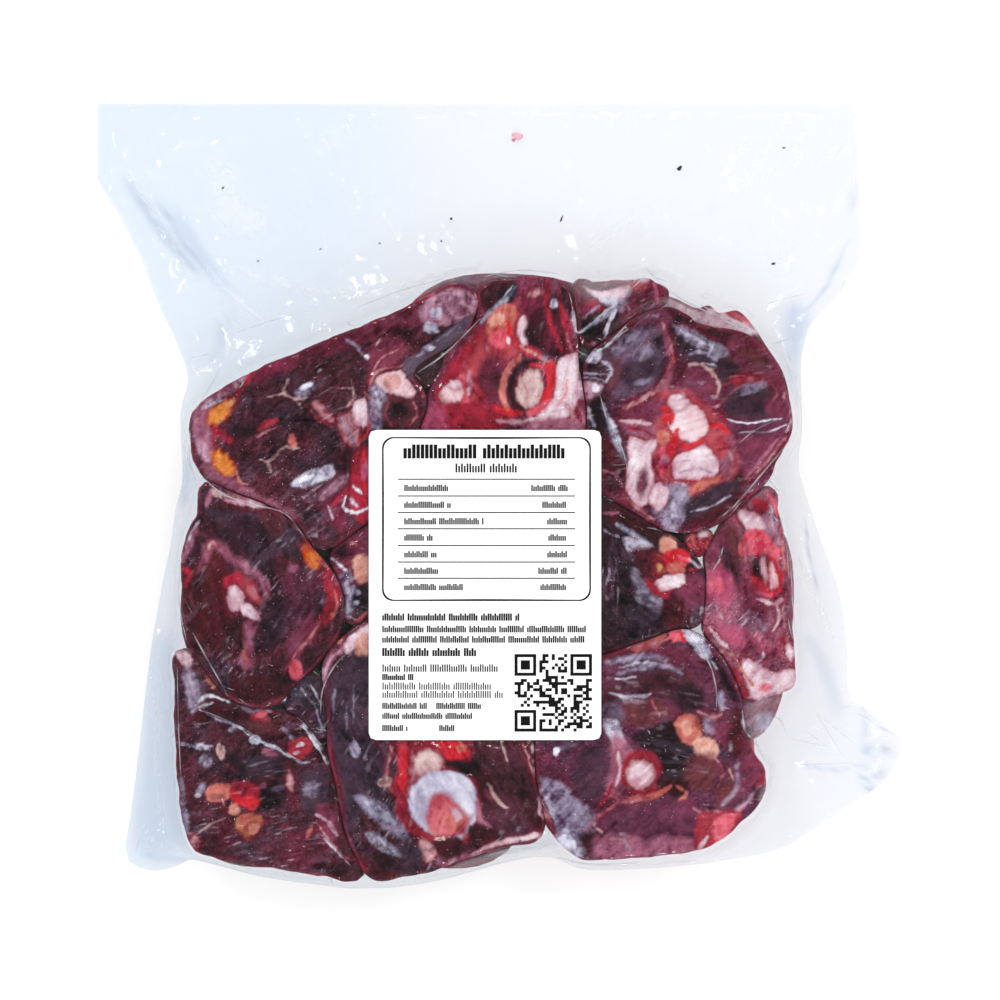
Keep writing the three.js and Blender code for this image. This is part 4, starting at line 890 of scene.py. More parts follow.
centreLeft = dict(
    name="chop_centre_left", height=39.0, lean=(0.01, 0), muscle="mid", grain=10, seed=101,
    outline=[
        (-66, -25.4), (-54, -15.4), (-40, -8), (-18, -6.2), (6, -8.6), (12, -20), (10.8, -44), (4, -55),
        (-8, -54), (-28, -44.6), (-44, -44.8), (-55, -50), (-60.4, -52), (-60.6, -44), (-63.6, -34),
    ],
    features=[
        patch("mid", -62.5, -20, -53, -17.5, -53, -28, -60, -27),
        stroke("frost", 1.4, -68.5, -23.5, -62, -17, -54.5, -12.5),
        stroke("pinkFat", 0.9, -60.5, -20, -55, -23.5),
        patch("deep", -68, -22, -62, -20, -61.5, -27, -66.5, -26),
        stroke("ice", 0.9, -71, -26, -66, -28.5, -61.5, -32.5),
        patch("peach", -59, -28, -53, -26, -52.5, -35.5, -57, -37),
        patch("deep", -60.5, -40, -52, -38, -52, -49, -59.5, -49),
        oval("frost", -56.8, -41.2, 1.6, 1.2),
        oval("ice", -57.6, -45.2, 1.2, 0.8),
        patch("lilac", -64.5, -34, -60, -32.5, -59, -49, -62.5, -51.5, -65, -46.5, -64, -40),
        stroke("frost", 2.4, -62, -34.5, -60.5, -42.5, -61.5, -49.5),
        patch("hole", -69, -56.5, -67.5, -64, -72, -69, -77, -73.5, -79, -71.5),
        patch("frost", -70, -58.5, -63, -51.5, -62, -56, -69, -64),
        stroke("salmon", 2, -53, -49.5, -65, -60.5),
    ],
)
trimmingLeft = dict(
    name="chop_trimming_left", height=37.6, lean=(0, 0), muscle="greyDark", grain=30, seed=107,
    outline=[
        (-81, -77.5), (-74, -76), (-69.5, -80),
        (-69, -90), (-71, -99), (-75.5, -97), (-80, -90), (-84, -86),
    ],
    features=[stroke("lilac", 0.8, -80, -80, -74, -88, -72, -97), stroke("frost", 0.6, -76, -78, -72, -86)],
)
trimmingRight = dict(
    name="chop_trimming_right", height=37.2, lean=(0, 0), muscle="wetRed", grain=70, seed=109,
    outline=[(76, -18), (80, -16), (84.8, -18.4), (83, -23), (79, -26.4), (76, -23)],
    features=[stroke("salmon", 2, 77, -18, 79, -24), oval("fat", 82, -18, 2.4, 1.4, 20)],
)
trimmingTop = dict(
    name="chop_trimming_top", height=35.5, lean=(-0.05, -0.3), muscle="maroon", grain=60, seed=113,
    outline=[
        (31, 80), (35, 83), (42, 84.4), (50, 84), (56, 85.6), (61, 85.4), (63.8, 82), (65, 77), (62, 73),
        (54, 69), (46, 63.6), (39, 59.6), (34, 61), (32, 70),
    ],
    features=[
        patch("fat", 33.5, 82.5, 41.5, 80, 61, 86.5, 48, 76, 36, 79),
        patch("frost", 40, 77.5, 53, 76, 49, 72, 42.5, 73.5),
        stroke("pinkFat", 1.2, 42.5, 82.5, 57.5, 86.5),
        stroke("crimson", 1.2, 44, 84.5, 49, 86.5, 52, 86.5),
        patch("maroon", 52, 82.5, 56, 83.5, 61.5, 84.5, 63, 76, 53.5, 72, 49, 69, 49, 74.5, 51, 77.5),
        patch("crimson", 52, 83, 58, 84, 59.5, 81.5, 53.5, 80.5),
        stroke("magenta", 1.2, 61, 85.5, 63.5, 75),
        stroke("lilac", 0.6, 52, 72, 50.5, 76, 53, 80),
        patch("purple", 56, 73.5, 69.5, 73.5, 71, 70.5, 64, 69.5, 57, 69),
    ],
)
upperChops = [
    trimmingLeft, trimmingRight, trimmingTop, upperLeft, upperMiddle, upperRight, middleLeft, lowerLeft,
    lowerMiddle, lowerRight, middleRight, centreRight, centreLeft,
]

# The lower chops: ovals with uneven sides, each with the colour of what shows of it past the chops on top
lowerChops = [
    dict(name="chop_under_upper_left", at=(-78, 28), half=(40, 23), turn=25, height=21, muscle="dark"),
    dict(
        name="chop_under_upper_middle", at=(4, 49), half=(46, 38), turn=-4, height=27, muscle="mid",
        marks=[
            patch("fat", 33.5, 82, 41.5, 79.5, 48.5, 81, 52, 84.5, 49, 86, 40, 82.5),
            stroke("crimson", 1.2, 39.5, 82.5, 46, 85),
        ],
    ),
    dict(
        name="chop_under_upper_right", at=(80, 41), half=(37, 42), turn=14, height=26, muscle="maroon",
        outline=[
            (45, 80), (52, 80.8), (56, 85.6), (62.4, 84.4), (65.2, 80), (72, 77.2), (80, 73.6),
            (84.8, 74.8), (88.8, 71.6), (96, 72.8), (102.8, 66), (108, 58), (114.4, 48), (117.2, 36),
            (116, 24), (108, 8), (88, -1), (66, 2), (52, 22), (50, 44), (46, 64),
        ],
        marks=[
            patch("redMuscle", 52, 81.5, 58, 85, 63, 83.5, 64, 76, 58, 71, 51, 69.5, 48, 72.5),
            stroke("crimson", 2, 53, 82, 58, 84, 62.5, 82.5),
            stroke("red", 1.2, 44, 85, 49.5, 86.5, 55, 85.5),
            patch("fat", 63.5, 79.5, 70.5, 76.5, 80, 72.5, 89, 69, 87, 64.5, 80, 67.5, 72, 68.5, 65, 73),
            oval("redBrown", 75.2, 77.6, 2, 2.8, -30),
            stroke("frost", 1.2, 65, 76, 76, 69.5, 85.5, 67),
            patch("fat", 81.5, 72.5, 92, 73.5, 105.5, 63, 84.5, 66),
            stroke("coral", 2.4, 88, 73, 95, 71, 101, 67),
            stroke("red", 1.2, 91.5, 71.5, 98.5, 68),
            stroke("pinkFat", 1.2, 79, 74.5, 86.5, 75, 93, 73),
            stroke("pinkMeat", 1.6, 101, 66.5, 106.5, 62.5, 111, 56),
        ],
    ),
    dict(name="chop_under_middle_left", at=(-93, -46), half=(35, 36), turn=0, height=21, muscle="dark"),
    dict(name="chop_under_centre_left", at=(-22, -30), half=(32, 37), turn=0, height=21, muscle="purple"),
    dict(name="chop_under_centre_right", at=(47, -36), half=(32, 32), turn=0, height=21, muscle="dark"),
    dict(
        name="chop_under_middle_right", at=(101.4, -56), half=(16.4, 46), turn=-3, height=25,
        muscle="pinkMeat", marks=[
            patch("pinkFrost", 96, -89, 116, -83, 117, -99, 103, -101.5),
            patch("frost", 103, -91.5, 112.5, -91, 113.5, -96, 105, -97),
            oval("ice", 108, -99.2, 2.8, 2),
            stroke("crimson", 1.6, 113, -83.5, 118.5, -85),
            stroke("pinkFat", 0.8, 98, -90.5, 106, -89, 114, -84),
        ],
    ),
    dict(name="chop_under_lower_left", at=(-95, -119), half=(34, 33), turn=-6, height=21, muscle="dark"),
    dict(name="chop_under_lower_middle", at=(-22, -112), half=(36, 41), turn=-6, height=21, muscle="purple"),
    dict(
        name="chop_under_lower_right", at=(62, -108), half=(43, 37.4), turn=6, height=23, muscle="wetRed",
        marks=[
            patch("coral", 103, -102, 117, -97, 117, -109, 108, -125, 101, -129),
            stroke("fat", 1.6, 113.5, -99, 110.5, -112, 101, -126.5),
            stroke("pinkFrost", 2.4, 107, -103, 109, -112),
        ],
    ),
]

slabShape = dict(
    layer=21.5,  # height of the upper chops' undersides
    floor=0.9,  # height of the lower chops' undersides, over the film
    edgeRadius=1.4,  # how round the sawn edge is
    seam=0.3,  # between two chops that were pressed together
    uneven=0.9,  # how far an outer side wanders
    cell=0.5,  # of the grid on an upper chop's top
    sideRings=16,  # from the round edge down to the underside
    firstInset=0.9,  # of the sawn face's grid from the outline
    belowInset=3.2,  # of the underside's
    widest=108,  # of an upper chop whose grid keeps that cell
    cellsBelow=80,
)


def ovalOutline(at, half, turn):  # an ellipse drawn out towards a rectangle, with soft lumps round it
    squareness = 2.7
    a = np.arange(40) / 40 * 2 * math.pi
    lumps = 1 + 0.03 * np.sin(2 * a + at[0]) + 0.022 * np.sin(3 * a + at[1])
    reach = lumps * (np.abs(np.cos(a)) ** squareness + np.abs(np.sin(a)) ** squareness) ** (-1 / squareness)
    u, v = half[0] * reach * np.cos(a), half[1] * reach * np.sin(a)
    return np.stack(turned(u, v, turn), 1) + at


def neckSection(x, y, reach, turn, seed):  # a slice through the neck: vertebra, cord, seams and fat
    pick = np.random.default_rng(seed)

    def at(u, v):
        u, v = turned(u, v, turn)
        return x + reach * u, y + reach * v

    marks = []
    for k in range(7):  # seams of pale sinew between the muscles, out from the bone
        a = 2 * math.pi * (k + pick.uniform(-0.3, 0.3)) / 7
        bend = pick.uniform(-0.35, 0.35)
        spots = [at(r * math.cos(a + bend * r), r * math.sin(a + bend * r)) for r in (0.3, 0.55, 0.8, 0.98)]
        marks.append(stroke("sinew", pick.uniform(0.8, 1.8), *sum(spots, ())))
    for tissue, u, v, wide, tall in (
        ("wetRed", 0, 0, 0.4, 0.34), ("blood", 0.06, 0.02, 0.3, 0.24), ("vertebra", -0.1, 0, 0.25, 0.22),
        ("marrow", -0.12, 0, 0.15, 0.12), ("cord", 0.24, 0.02, 0.1, 0.12),
    ):
        marks.append(oval(tissue, *at(u, v), wide * reach, tall * reach, turn))
    marks.append(stroke("fat", 3.0, *at(0.42, 0.2), *at(0.62, 0.3), *at(0.8, 0.22)))
    marks.append(stroke("fat", 2.4, *at(-0.3, -0.42), *at(-0.5, -0.6), *at(-0.6, -0.8)))
    return marks


def outwardOf(line):  # square to a closed anticlockwise line, 1 long
    along = np.roll(line, -1, axis=0) - np.roll(line, 1, axis=0)
    return np.stack([along[:, 1], -along[:, 0]], 1) / np.linalg.norm(along, axis=1)[:, None]


def closedUp(edges, k):  # an outline moved out or in, to meet its neighbours half way
    line = edges[k]
    apart = np.min([-depthInside(other, *line.T) for j, other in enumerate(edges) if j != k], axis=0)
    move = (apart - slabShape["seam"]) / 2 * smoothStep(12, 8, apart)
    near = (np.arange(len(line))[:, None] + np.arange(-3, 4)) % len(line)
    uneven = slabShape["uneven"] * cloud(*line.T, 7, 400) * smoothStep(5, 10, apart)
    return line + outwardOf(line) * (move[near].mean(axis=1) + uneven)[:, None]


chops = []
edges = [evenPoints(smoothLine(spec["outline"], 4, True), 150, spec["outline"][0], 0) for spec in upperChops]
for k, spec in enumerate(upperChops):
    edge = closedUp(edges, k)
    if spec in (upperMiddle, upperRight, trimmingTop):
        spec = dict(spec, features=spec["features"] + foldMarks)
    reach = np.ptp(edge, axis=0).max()
    cells = 2 * int(min(reach, slabShape["widest"]) / slabShape["cell"] / 2)
    chops.append(dict(spec, edge=edge, under=slabShape["layer"], cells=cells, lower=False))
for order, spec in enumerate(lowerChops):
    edge = ovalOutline(spec["at"], spec["half"], spec["turn"])
    if "outline" in spec:
        edge = smoothLine(spec["outline"], 4, True)
    section = neckSection(*spec["at"], 0.9 * min(spec["half"]), 40 * order, 300 + order)
    if order == 1:
        section = section + foldMarks
    chops.append(dict(spec, edge=edge, under=slabShape["floor"], cells=slabShape["cellsBelow"], lower=True,
                      lean=(0, 0), grain=37 * order, seed=200 + 7 * order,
                      features=section + spec.get("marks", [])))
for chop in chops:
    chop["middle"] = chop["edge"].mean(axis=0)

# The label, as the solid has it: its size, place and bed, and how much its paper bows across
label = dict(width=93, length=124, thickness=0.5, corner=2.6, gap=0.3, x=-6, y=-38, bed=43.2, bow=0.9,
             cells=48, inset=0.12)  # of the paper's grid, and how far its cut edge is rounded


def labelBed(x):
    return label["bed"] - label["bow"] * ((x - label["x"]) / (label["width"] / 2)) ** 2


def underLabel(x, y, margin, soft):  # 1 under the label and 0 away from it
    inX = label["width"] / 2 + margin - np.abs(x - label["x"])
    inY = label["length"] / 2 + margin - np.abs(y - label["y"])
    return smoothStep(-soft, soft, np.minimum(inX, inY))


meat = dict(
    warp=0.9,  # how far the features' edges wander, in mm
    fineWarp=0.4,
    ragged=0.5,  # how far they fray, in mm
    fineRagged=0.3,  # and along the fibres
    relief=0.34,  # height of the sawn face's bumps in mm
    halo=2.2,  # how far blood has soaked out of bone and fat, in mm
    soaked="#7c1a2b",
    pale="#935867",  # flecks of fat in the muscle
    black="#1a0a11",  # painted shade in pits and clefts
    # painted highlights: glints of the wet film over the meat
    glint="#cdb8c6",
    frostAndSheen="#8d7d95",  # frost under the film, with a painted sheen of the film's reflections over it
    rim="#8c2440",  # fresher red along the sawn edge
    belowLabel=0.45,  # how far the meat stays under the label's bed, in mm
)
chopSide = [  # tissue, size of its patches in mm, where it starts in the noise, how thick it lies
    ("crimson", 13, 0.05, 0.55), ("pinkFat", 19, 0.1, 0.8), ("fat", 11, 0.3, 0.85), ("frost", 8, 0.35, 0.4),
]
# Tissues with blood soaked out round them, and tissues that lie in broken flakes
soaking = (
    "bone", "pinkBone", "vertebra", "cord", "marrow", "fat", "pinkFat", "yellowFat", "orangeFat",
    "orangeFlesh",
)
flaking = ("sinew", "pinkFat", "lilac", "frost", "ice", "frostGlaze", "pinkFrost")


def mixed(colour, other, amount):
    return colour + (other - colour) * np.clip(amount, 0, 1)[:, None]


def toneOf(tissue, amount):  # a tissue's colour, from its dark to its light one
    dark, light = linear(tissues[tissue]["dark"]), linear(tissues[tissue]["light"])
    return dark + (light - dark) * np.clip(amount, -0.3, 1.5)[:, None]


def paintChop(chop, x, y):  # height of a chop's sawn face and its colour at each point
    seed, grain = chop["seed"], chop["grain"]
    wx = x + meat["warp"] * cloud(x, y, 9, seed) + meat["fineWarp"] * cloud(x, y, 2.6, seed + 3)
    wy = y + meat["warp"] * cloud(x, y, 9, seed + 40) + meat["fineWarp"] * cloud(x, y, 2.6, seed + 43)
    coarse, middling, fine = cloud(x, y, 13, seed + 5), cloud(x, y, 4.5, seed + 6), cloud(x, y, 1.5, seed + 7)
    half = smoothStep(-0.1, 0.1, noise(x, y, 28, seed + 8))
    oneWay, otherWay = streaks(x, y, grain + 24, seed + 9), streaks(x, y, grain - 24, seed + 10)
    fibre = half * oneWay + (1 - half) * otherWay
    shade = 0.42 + 0.6 * coarse + 0.45 * middling + 0.4 * fine + 0.3 * fibre

    colour = toneOf(chop["muscle"], shade)
    flush = 0.65 * cloud(x, y, 10, seed + 11)
    colour = colour * np.stack([1 + flush, 1 - 0.6 * flush, 1 - 0.3 * flush], 1)
    flecks = smoothStep(0.3, 0.7, streaks(x, y, grain, seed + 13, 5, 1.0)) * smoothStep(-0.3, 0.5, middling)
    colour = mixed(colour, linear(meat["pale"]), 0.2 * flecks)
    # painted shade in small pits, which also sink a little
    pits = smoothStep(0.3, 0.75, cloud(x, y, 2.4, seed + 14))
    colour = mixed(colour, linear(meat["black"]), 0.6 * pits)
    rise = -0.3 * pits
    lean = 1 - 0.3 * flecks
    ragged = meat["ragged"] * cloud(x, y, 2.2, seed + 12) + meat["fineRagged"] * fibre
    for mark in chop["features"]:
        tissue, spots, reach = tissues[mark["tissue"]], np.array(mark["points"]), reachOf(mark)
        low, high = spots.min(axis=0) - reach, spots.max(axis=0) + reach
        near = np.flatnonzero((wx > low[0]) & (wx < high[0]) & (wy > low[1]) & (wy < high[1]))
        depth, soft = markDepth(mark, wx[near], wy[near], tissue["soft"])
        depth = depth + ragged[near] * min(1, 0.4 + soft)
        cover, amount, mottle = mark["strength"] * smoothStep(-soft, soft, depth), shade[near], middling[near]
        if mark["tissue"] in flaking:
            cover = cover * (0.5 + 0.5 * smoothStep(-0.5, 0.1, mottle + 0.7 * fine[near]))
        if mark["tissue"] in soaking:
            soak = smoothStep(-meat["halo"], 0, depth) * (0.4 + 0.4 * mottle)
            colour[near] = mixed(colour[near], linear(meat["soaked"]), soak * mark["strength"])
            amount = amount - 0.5 * smoothStep(1.6, 0, depth)
        lean[near] = lean[near] * (1 - 0.8 * cover)
        colour[near] = mixed(colour[near], toneOf(mark["tissue"], amount), cover)
        rise[near] = rise[near] * (1 - cover) + tissue["rise"] * cover
    # Painted shade in the clefts between the bundles of fibres, and in other places frost with a painted
    # sheen and painted glints, most of it on the lean
    patchy = smoothStep(-0.1, 0.5, cloud(x, y, 12, seed + 16))
    seams = smoothStep(0.16, 0.02, np.abs(streaks(x, y, grain + 50 * middling.mean(), seed + 17, 8, 2.4)))
    colour = mixed(colour, linear(meat["black"]), 0.5 * seams * (1 - patchy) * lean)
    # frost with a painted sheen of the film's reflections, in streaks, mostly on the lean
    frostAndSheen = patchy * smoothStep(-0.2, 0.6, streaks(x, y, grain - 30, seed + 18, 9, 1.4) + 0.5 * fine)
    colour = mixed(colour, linear(meat["frostAndSheen"]), 0.22 * frostAndSheen * (0.3 + 0.7 * lean))
    # painted glints of the film, in short streaks in the same patches as the frost
    glints = smoothStep(0.55, 0.85, streaks(x, y, grain - 30, seed + 15, 4, 0.9)) * patchy
    colour = mixed(colour, linear(meat["glint"]), 0.55 * glints * (0.3 + 0.7 * lean))
    depth = depthInside(chop["edge"], x, y)
    colour = mixed(colour, linear(meat["rim"]), 0.6 * smoothStep(1.5, 0.2, depth + 1.2 * middling))
    lift = chop["lean"][0] * (x - chop["middle"][0]) + chop["lean"][1] * (y - chop["middle"][1])
    bumps = meat["relief"] * (0.7 * coarse + 0.9 * middling + 0.7 * fine + 0.3 * fibre)
    top = chop["height"] + lift + rise + bumps
    capped = np.minimum(top, labelBed(x) - meat["belowLabel"])
    return top + (capped - top) * underLabel(x, y, 2, 2), np.clip(colour, 0, 1), depth, lean


def paintSide(chop, along, z):  # a chop's side: membrane and fat in patches over muscle
    seed = chop["seed"] + 500
    broad, lumps = cloud(along, 1.4 * z, 17, seed), cloud(along, z, 5, seed + 4)
    fine = cloud(along, z, 1.6, seed + 8)
    fibre = streaks(along, z, 12, seed + 12, 8, 1.2)
    colour = toneOf(chop["muscle"], 0.4 + 0.5 * broad + 0.5 * lumps + 0.4 * fine + 0.3 * fibre)
    for tissue, cell, start, most in chopSide:
        where = cloud(along, 1.6 * z, cell, seed + cell) + 0.3 * lumps + 0.2 * fibre
        cover = most * smoothStep(start, start + 0.35, where)
        colour = mixed(colour, toneOf(tissue, 0.5 + 0.5 * lumps + 0.5 * fine), cover)
    return colour


def edgeDrop(depth):  # how far a sawn edge falls away, as a quarter round
    r = slabShape["edgeRadius"]
    inward = np.clip(r - np.maximum(depth, 0), 0, r)
    return r - np.sqrt(np.maximum(r * r - inward * inward, 0))


def ringGrid(border, cells, centre):  # a square grid pulled out to a closed border of 4 x cells points
    half = cells // 2
    v, u = np.mgrid[-half : half + 1, -half : half + 1]
    ring = np.maximum(np.abs(u), np.abs(v))
    far, safe = 4 * cells, np.maximum(ring, 1)
    walk = np.select([v == -ring, u == ring, v == ring], [u + ring, 3 * ring + v, 5 * ring - u], 7 * ring - v)
    walk = walk / (8 * safe) * far
    k = np.floor(walk).astype(int)
    t = (walk - k)[..., None]
    out = border[k % far] * (1 - t) + border[(k + 1) % far] * t
    xy = centre + (ring / half)[..., None] * (out - centre)
    index = np.arange((cells + 1) ** 2).reshape(cells + 1, cells + 1)
    quads = np.stack([index[:-1, :-1], index[:-1, 1:], index[1:, 1:], index[1:, :-1]], -1).reshape(-1, 4)
    loop = np.concatenate([index[0, :-1], index[:-1, -1], index[-1, :0:-1], index[:0:-1, 0]])
    return xy.reshape(-1, 2), quads, loop


def band(inner, outer):  # the faces between two closed loops of vertices
    return np.stack([inner, outer, np.roll(outer, -1), np.roll(inner, -1)], -1)


cadMiddle = [(cadBox[0][k] + cadBox[1][k]) / 2 / mm for k in (0, 1)]
drawnMiddle = (-0.195, -1.524)  # where the outlines' own middle lies, which the solids bring to the origin
shift = np.array([cadMiddle[0] - drawnMiddle[0], cadMiddle[1] - drawnMiddle[1], 0])


def makePiece(name, points, faces, material, colours=None, extras=None):
    mesh = bpy.data.meshes.new(name)
    mesh.from_pydata(((points + shift) * mm).tolist(), [], [list(f) for group in faces for f in group])
    mesh.polygons.foreach_set("use_smooth", [True] * len(mesh.polygons))
    if colours is not None:
        paint = mesh.attributes.new("paint", "FLOAT_COLOR", "POINT")
        paint.data.foreach_set("color", np.concatenate([colours, np.ones((len(colours), 1))], 1).ravel())
    for key, values in (extras or {}).items():
        mesh.attributes.new(key, "FLOAT", "POINT").data.foreach_set("value", values)
    mesh.materials.append(material)
    mesh.update()
    piece = bpy.data.objects.new(name, mesh)
    bpy.context.collection.objects.link(piece)
    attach(piece, "root")
    return piece


def addNode(tree, kind, values=None, links=None, **settings):  # a node, its settings, socket values and links
    node = tree.nodes.new(kind)
    for key, value in settings.items():
        setattr(node, key, value)
    for key, value in (values or {}).items():
        node.inputs[key].default_value = value
    for key, socket in (links or {}).items():
        tree.links.new(socket, node.inputs[key])
    return node


def newMaterial(name):
    material = bpy.data.materials.new(name)
    material.use_nodes = True
    material.node_tree.nodes.clear()
    return material, material.node_tree


def surface(material, shader, output="BSDF"):
    addNode(material.node_tree, "ShaderNodeOutputMaterial", None, {"Surface": shader.outputs[output]})
    return material


def colourValue(hexColour):
    return (*linear(hexColour), 1)


def rawMeatMaterial():  # frozen raw mutton: wet sawn muscle, fat and bone, painted on the mesh
    material, tree = newMaterial("frozen raw mutton")
    place = addNode(tree, "ShaderNodeTexCoord").outputs["Object"]
    paint = addNode(tree, "ShaderNodeAttribute", attribute_name="paint")
    lean = addNode(tree, "ShaderNodeAttribute", attribute_name="lean").outputs["Fac"]

    def noiseAt(sizeMm, detail):
        settings = {"Scale": 1 / (sizeMm * mm), "Detail": detail, "Roughness": 0.6}
        return addNode(tree, "ShaderNodeTexNoise", settings, {"Vector": place}).outputs["Fac"]

    def ramp(value, low, high, out0, out1):
        ends = {"From Min": low, "From Max": high, "To Min": out0, "To Max": out1}
        return addNode(tree, "ShaderNodeMapRange", ends, {"Value": value}).outputs["Result"]

    def times(a, b):
        return addNode(tree, "ShaderNodeMath", None, {0: a, 1: b}, operation="MULTIPLY").outputs["Value"]

    def tinted(colour, hexColour, amount):
        return addNode(tree, "ShaderNodeMix", {"B": colourValue(hexColour)}, {"Factor": amount, "A": colour},
                       data_type="RGBA").outputs["Result"]

    bundles = noiseAt(0.9, 5)  # muscle fibre bundles, cut across
    crystalsAndGlints = times(ramp(noiseAt(0.8, 2), 0.66, 0.76, 0, 0.5), ramp(noiseAt(6, 3), 0.54, 0.66, 0, 1))
    onLean = addNode(tree, "ShaderNodeMix", None, {
        "Factor": lean, "A": ramp(bundles, 0.3, 0.7, 0.86, 1.0), "B": ramp(bundles, 0.35, 0.66, 0.45, 1.25)})
    shaded = addNode(tree, "ShaderNodeVectorMath", None,
                     {0: paint.outputs["Color"], 1: onLean.outputs["Result"]}, operation="MULTIPLY")
    shaded = tinted(shaded.outputs["Vector"], "#c9c1d2", times(crystalsAndGlints, lean))  # ice crystals under the film, with painted glints of the film
    bump = addNode(tree, "ShaderNodeBump", {"Strength": 0.45, "Distance": 0.0008}, {"Height": bundles})
    shader = addNode(tree, "ShaderNodeBsdfPrincipled",
                     {"Roughness": 0.4, "Specular IOR Level": 0.05},
                     {"Base Color": shaded, "Normal": bump.outputs["Normal"]})
    return surface(material, shader)


def chopSlab(chop, material):  # a chop's sawn face on a fine grid, round edge, side and underside
    cells, centre = chop["cells"], chop["middle"]
    border = evenPoints(chop["edge"], 4 * cells, centre, math.radians(-135))
    outward, radius = outwardOf(border), slabShape["edgeRadius"]
    xy, quads, loop = ringGrid(border - outward * slabShape["firstInset"], cells, centre)
    z, colour, depth, lean = paintChop(chop, *xy.T)
    z = z - edgeDrop(depth)
    points, colours, leans, faces = [np.column_stack([xy, z])], [colour], [lean], [quads]
    rimTop = z[loop] + edgeDrop(depth[loop])
    walk = np.linalg.norm(np.diff(border, axis=0, append=border[:1]), axis=1).cumsum()
    down = np.linspace(0, 1, slabShape["sideRings"])  # from the round edge down to the underside
    bulge = 0.1 - 0.4 * np.sin(math.pi * down) + 2.3 * smoothStep(0.86, 1, down)
    rings = [(0.35, 0)] + list(zip(bulge, down))
    last, count = loop, len(xy)
    for inset, share in rings:
        low = rimTop - radius + (1 - share) ** 8 * (radius - edgeDrop(np.array(inset)))
        ringZ = low + share * (chop["under"] - low)
        lumpy = 0.45 * cloud(walk, ringZ, 6, chop["seed"] + 60) * min(1, 6 * share * (1 - share))
        ring = count + np.arange(len(border))
        points.append(np.column_stack([border - outward * (inset + lumpy)[:, None], ringZ]))
        sawn = smoothStep(0.22, 0, share + 0.12 * cloud(walk, ringZ, 3, chop["seed"] + 61))
        colours.append(mixed(paintSide(chop, walk, ringZ), colour[loop], sawn))
        leans.append(lean[loop])
        faces.append(band(last, ring))
        last, count = ring, count + len(border)
    if chop["lower"]:  # its underside is seen through the film from below
        belowXy, belowQuads, belowLoop = ringGrid(border - outward * slabShape["belowInset"], cells, centre)
        belowZ = chop["under"] + 0.25 * cloud(*belowXy.T, 7, chop["seed"] + 70)
        points.append(np.column_stack([belowXy, belowZ]))
        belowPaint = paintChop(dict(chop, seed=chop["seed"] + 1000), *belowXy.T)
        colours.append(belowPaint[1])
        leans.append(belowPaint[3])
        faces.append(belowQuads[:, ::-1] + count)
        faces.append(band(last, belowLoop + count))
    else:
        faces.append([last[::-1]])
    piece = makePiece(chop["name"], np.concatenate(points), faces, material, np.concatenate(colours),
                      {"lean": np.concatenate(leans)})
    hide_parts("filled_pouch")
    return piece


# The loose film, as the solid has it: where it leaves the chops, where it lies, and its long folds
loose = dict(low=2.6, rise=10, fall=13, wave=0.75, waveLength=62)
folds = [
    dict(points=[(-152, 118), (-122, 58)], height=3.2, width=5),
    dict(points=[(-134, 126), (-104, 66)], height=2.2, width=4),
    dict(points=[(-70, 132), (-46, 84)], height=1.6, width=5),
    dict(points=[(22, 134), (36, 96)], height=1.8, width=5),
    dict(points=[(136, 116), (112, 76)], height=2.4, width=5),
    dict(points=[(88, 130), (84, 88)], height=1.6, width=6),
    dict(points=[(-142, -62), (-142, -138)], height=5.5, width=7),
    dict(points=[(128, -34), (138, -86)], height=2.6, width=5),
    dict(points=[(112, -132), (150, -104)], height=3.0, width=6),
]
pouchEdge = [
    (-165, 158.5), (146.4, 158.5), (147.6, 123), (147.2, 94), (140.6, 82), (127.5, 68), (123.6, 56),
    (122.8, 43), (122.6, 25), (122, 10), (124.6, 0), (131.2, -20), (139, -42), (142.3, -65), (143.5, -85),
    (149.8, -89), (164.6, -103), (161.2, -114), (157.4, -119.6), (143.5, -129), (129.2, -138.6),
    (114.8, -146.8), (100.5, -150), (82, -152.4), (57.4, -154), (32.8, -154), (21.7, -149.6), (0, -152),
    (-24.6, -158.7), (-49.2, -161.5), (-70, -160.7), (-98.4, -157), (-117, -151.5), (-126, -150.6),
    (-133.3, -154.2), (-142.7, -155.8), (-151.7, -152.5), (-153.3, -146), (-151.3, -133), (-148, -109),
    (-143.5, -72), (-138.2, -39), (-134.2, -22), (-132.6, -8), (-129.6, 4), (-129.4, 20), (-129.8, 34),
    (-127.6, 46), (-132.8, 61), (-139.4, 75), (-148.8, 98), (-157.4, 115), (-162.4, 123), (-165, 127),
]
sharpCorners = 2  # the two far corners are square, the rest of the edge is a smooth line

filmShape = dict(
    step=1.0,  # of the height grid, in mm
    sag=0.5,  # how hard the vacuum pulls the film into a gap, as curvature per mm
    rounds=500,
    over=0.32,  # between the meat and the film's middle, in mm
    wall=0.9,  # between the two walls where the film is loose
    cells=180,
    middle=(-6.0, -34.0),  # where the film's grid spreads from, under the label
    nearest=60,  # no spoke leaves the chops closer to the middle than this
    farthest=210,
    rings=22,  # between the chops and the pouch's edge, closer together near the chops
    crowding=1.35,
)


def ridge(fold, x, y, sharp):  # height of a fold's crest over flat film
    away, along = nearLine(smoothLine(fold["points"], 5, False), x, y, False)
    return fold["height"] * np.exp(-((away / fold["width"]) ** sharp))


def looseHeight(x, y, outside):
    k = 2 * math.pi / loose["waveLength"]
    wave = np.sin(k * x + 1.3 * np.sin(k * 0.6 * y)) * np.cos(k * 0.8 * y + 0.5)
    free = 1 - np.exp(-outside / loose["fall"])
    raised = sum(ridge(fold, x, y, 2) for fold in folds)
    return loose["low"] + loose["rise"] * (1 - free) + free * (loose["wave"] * wave + raised)


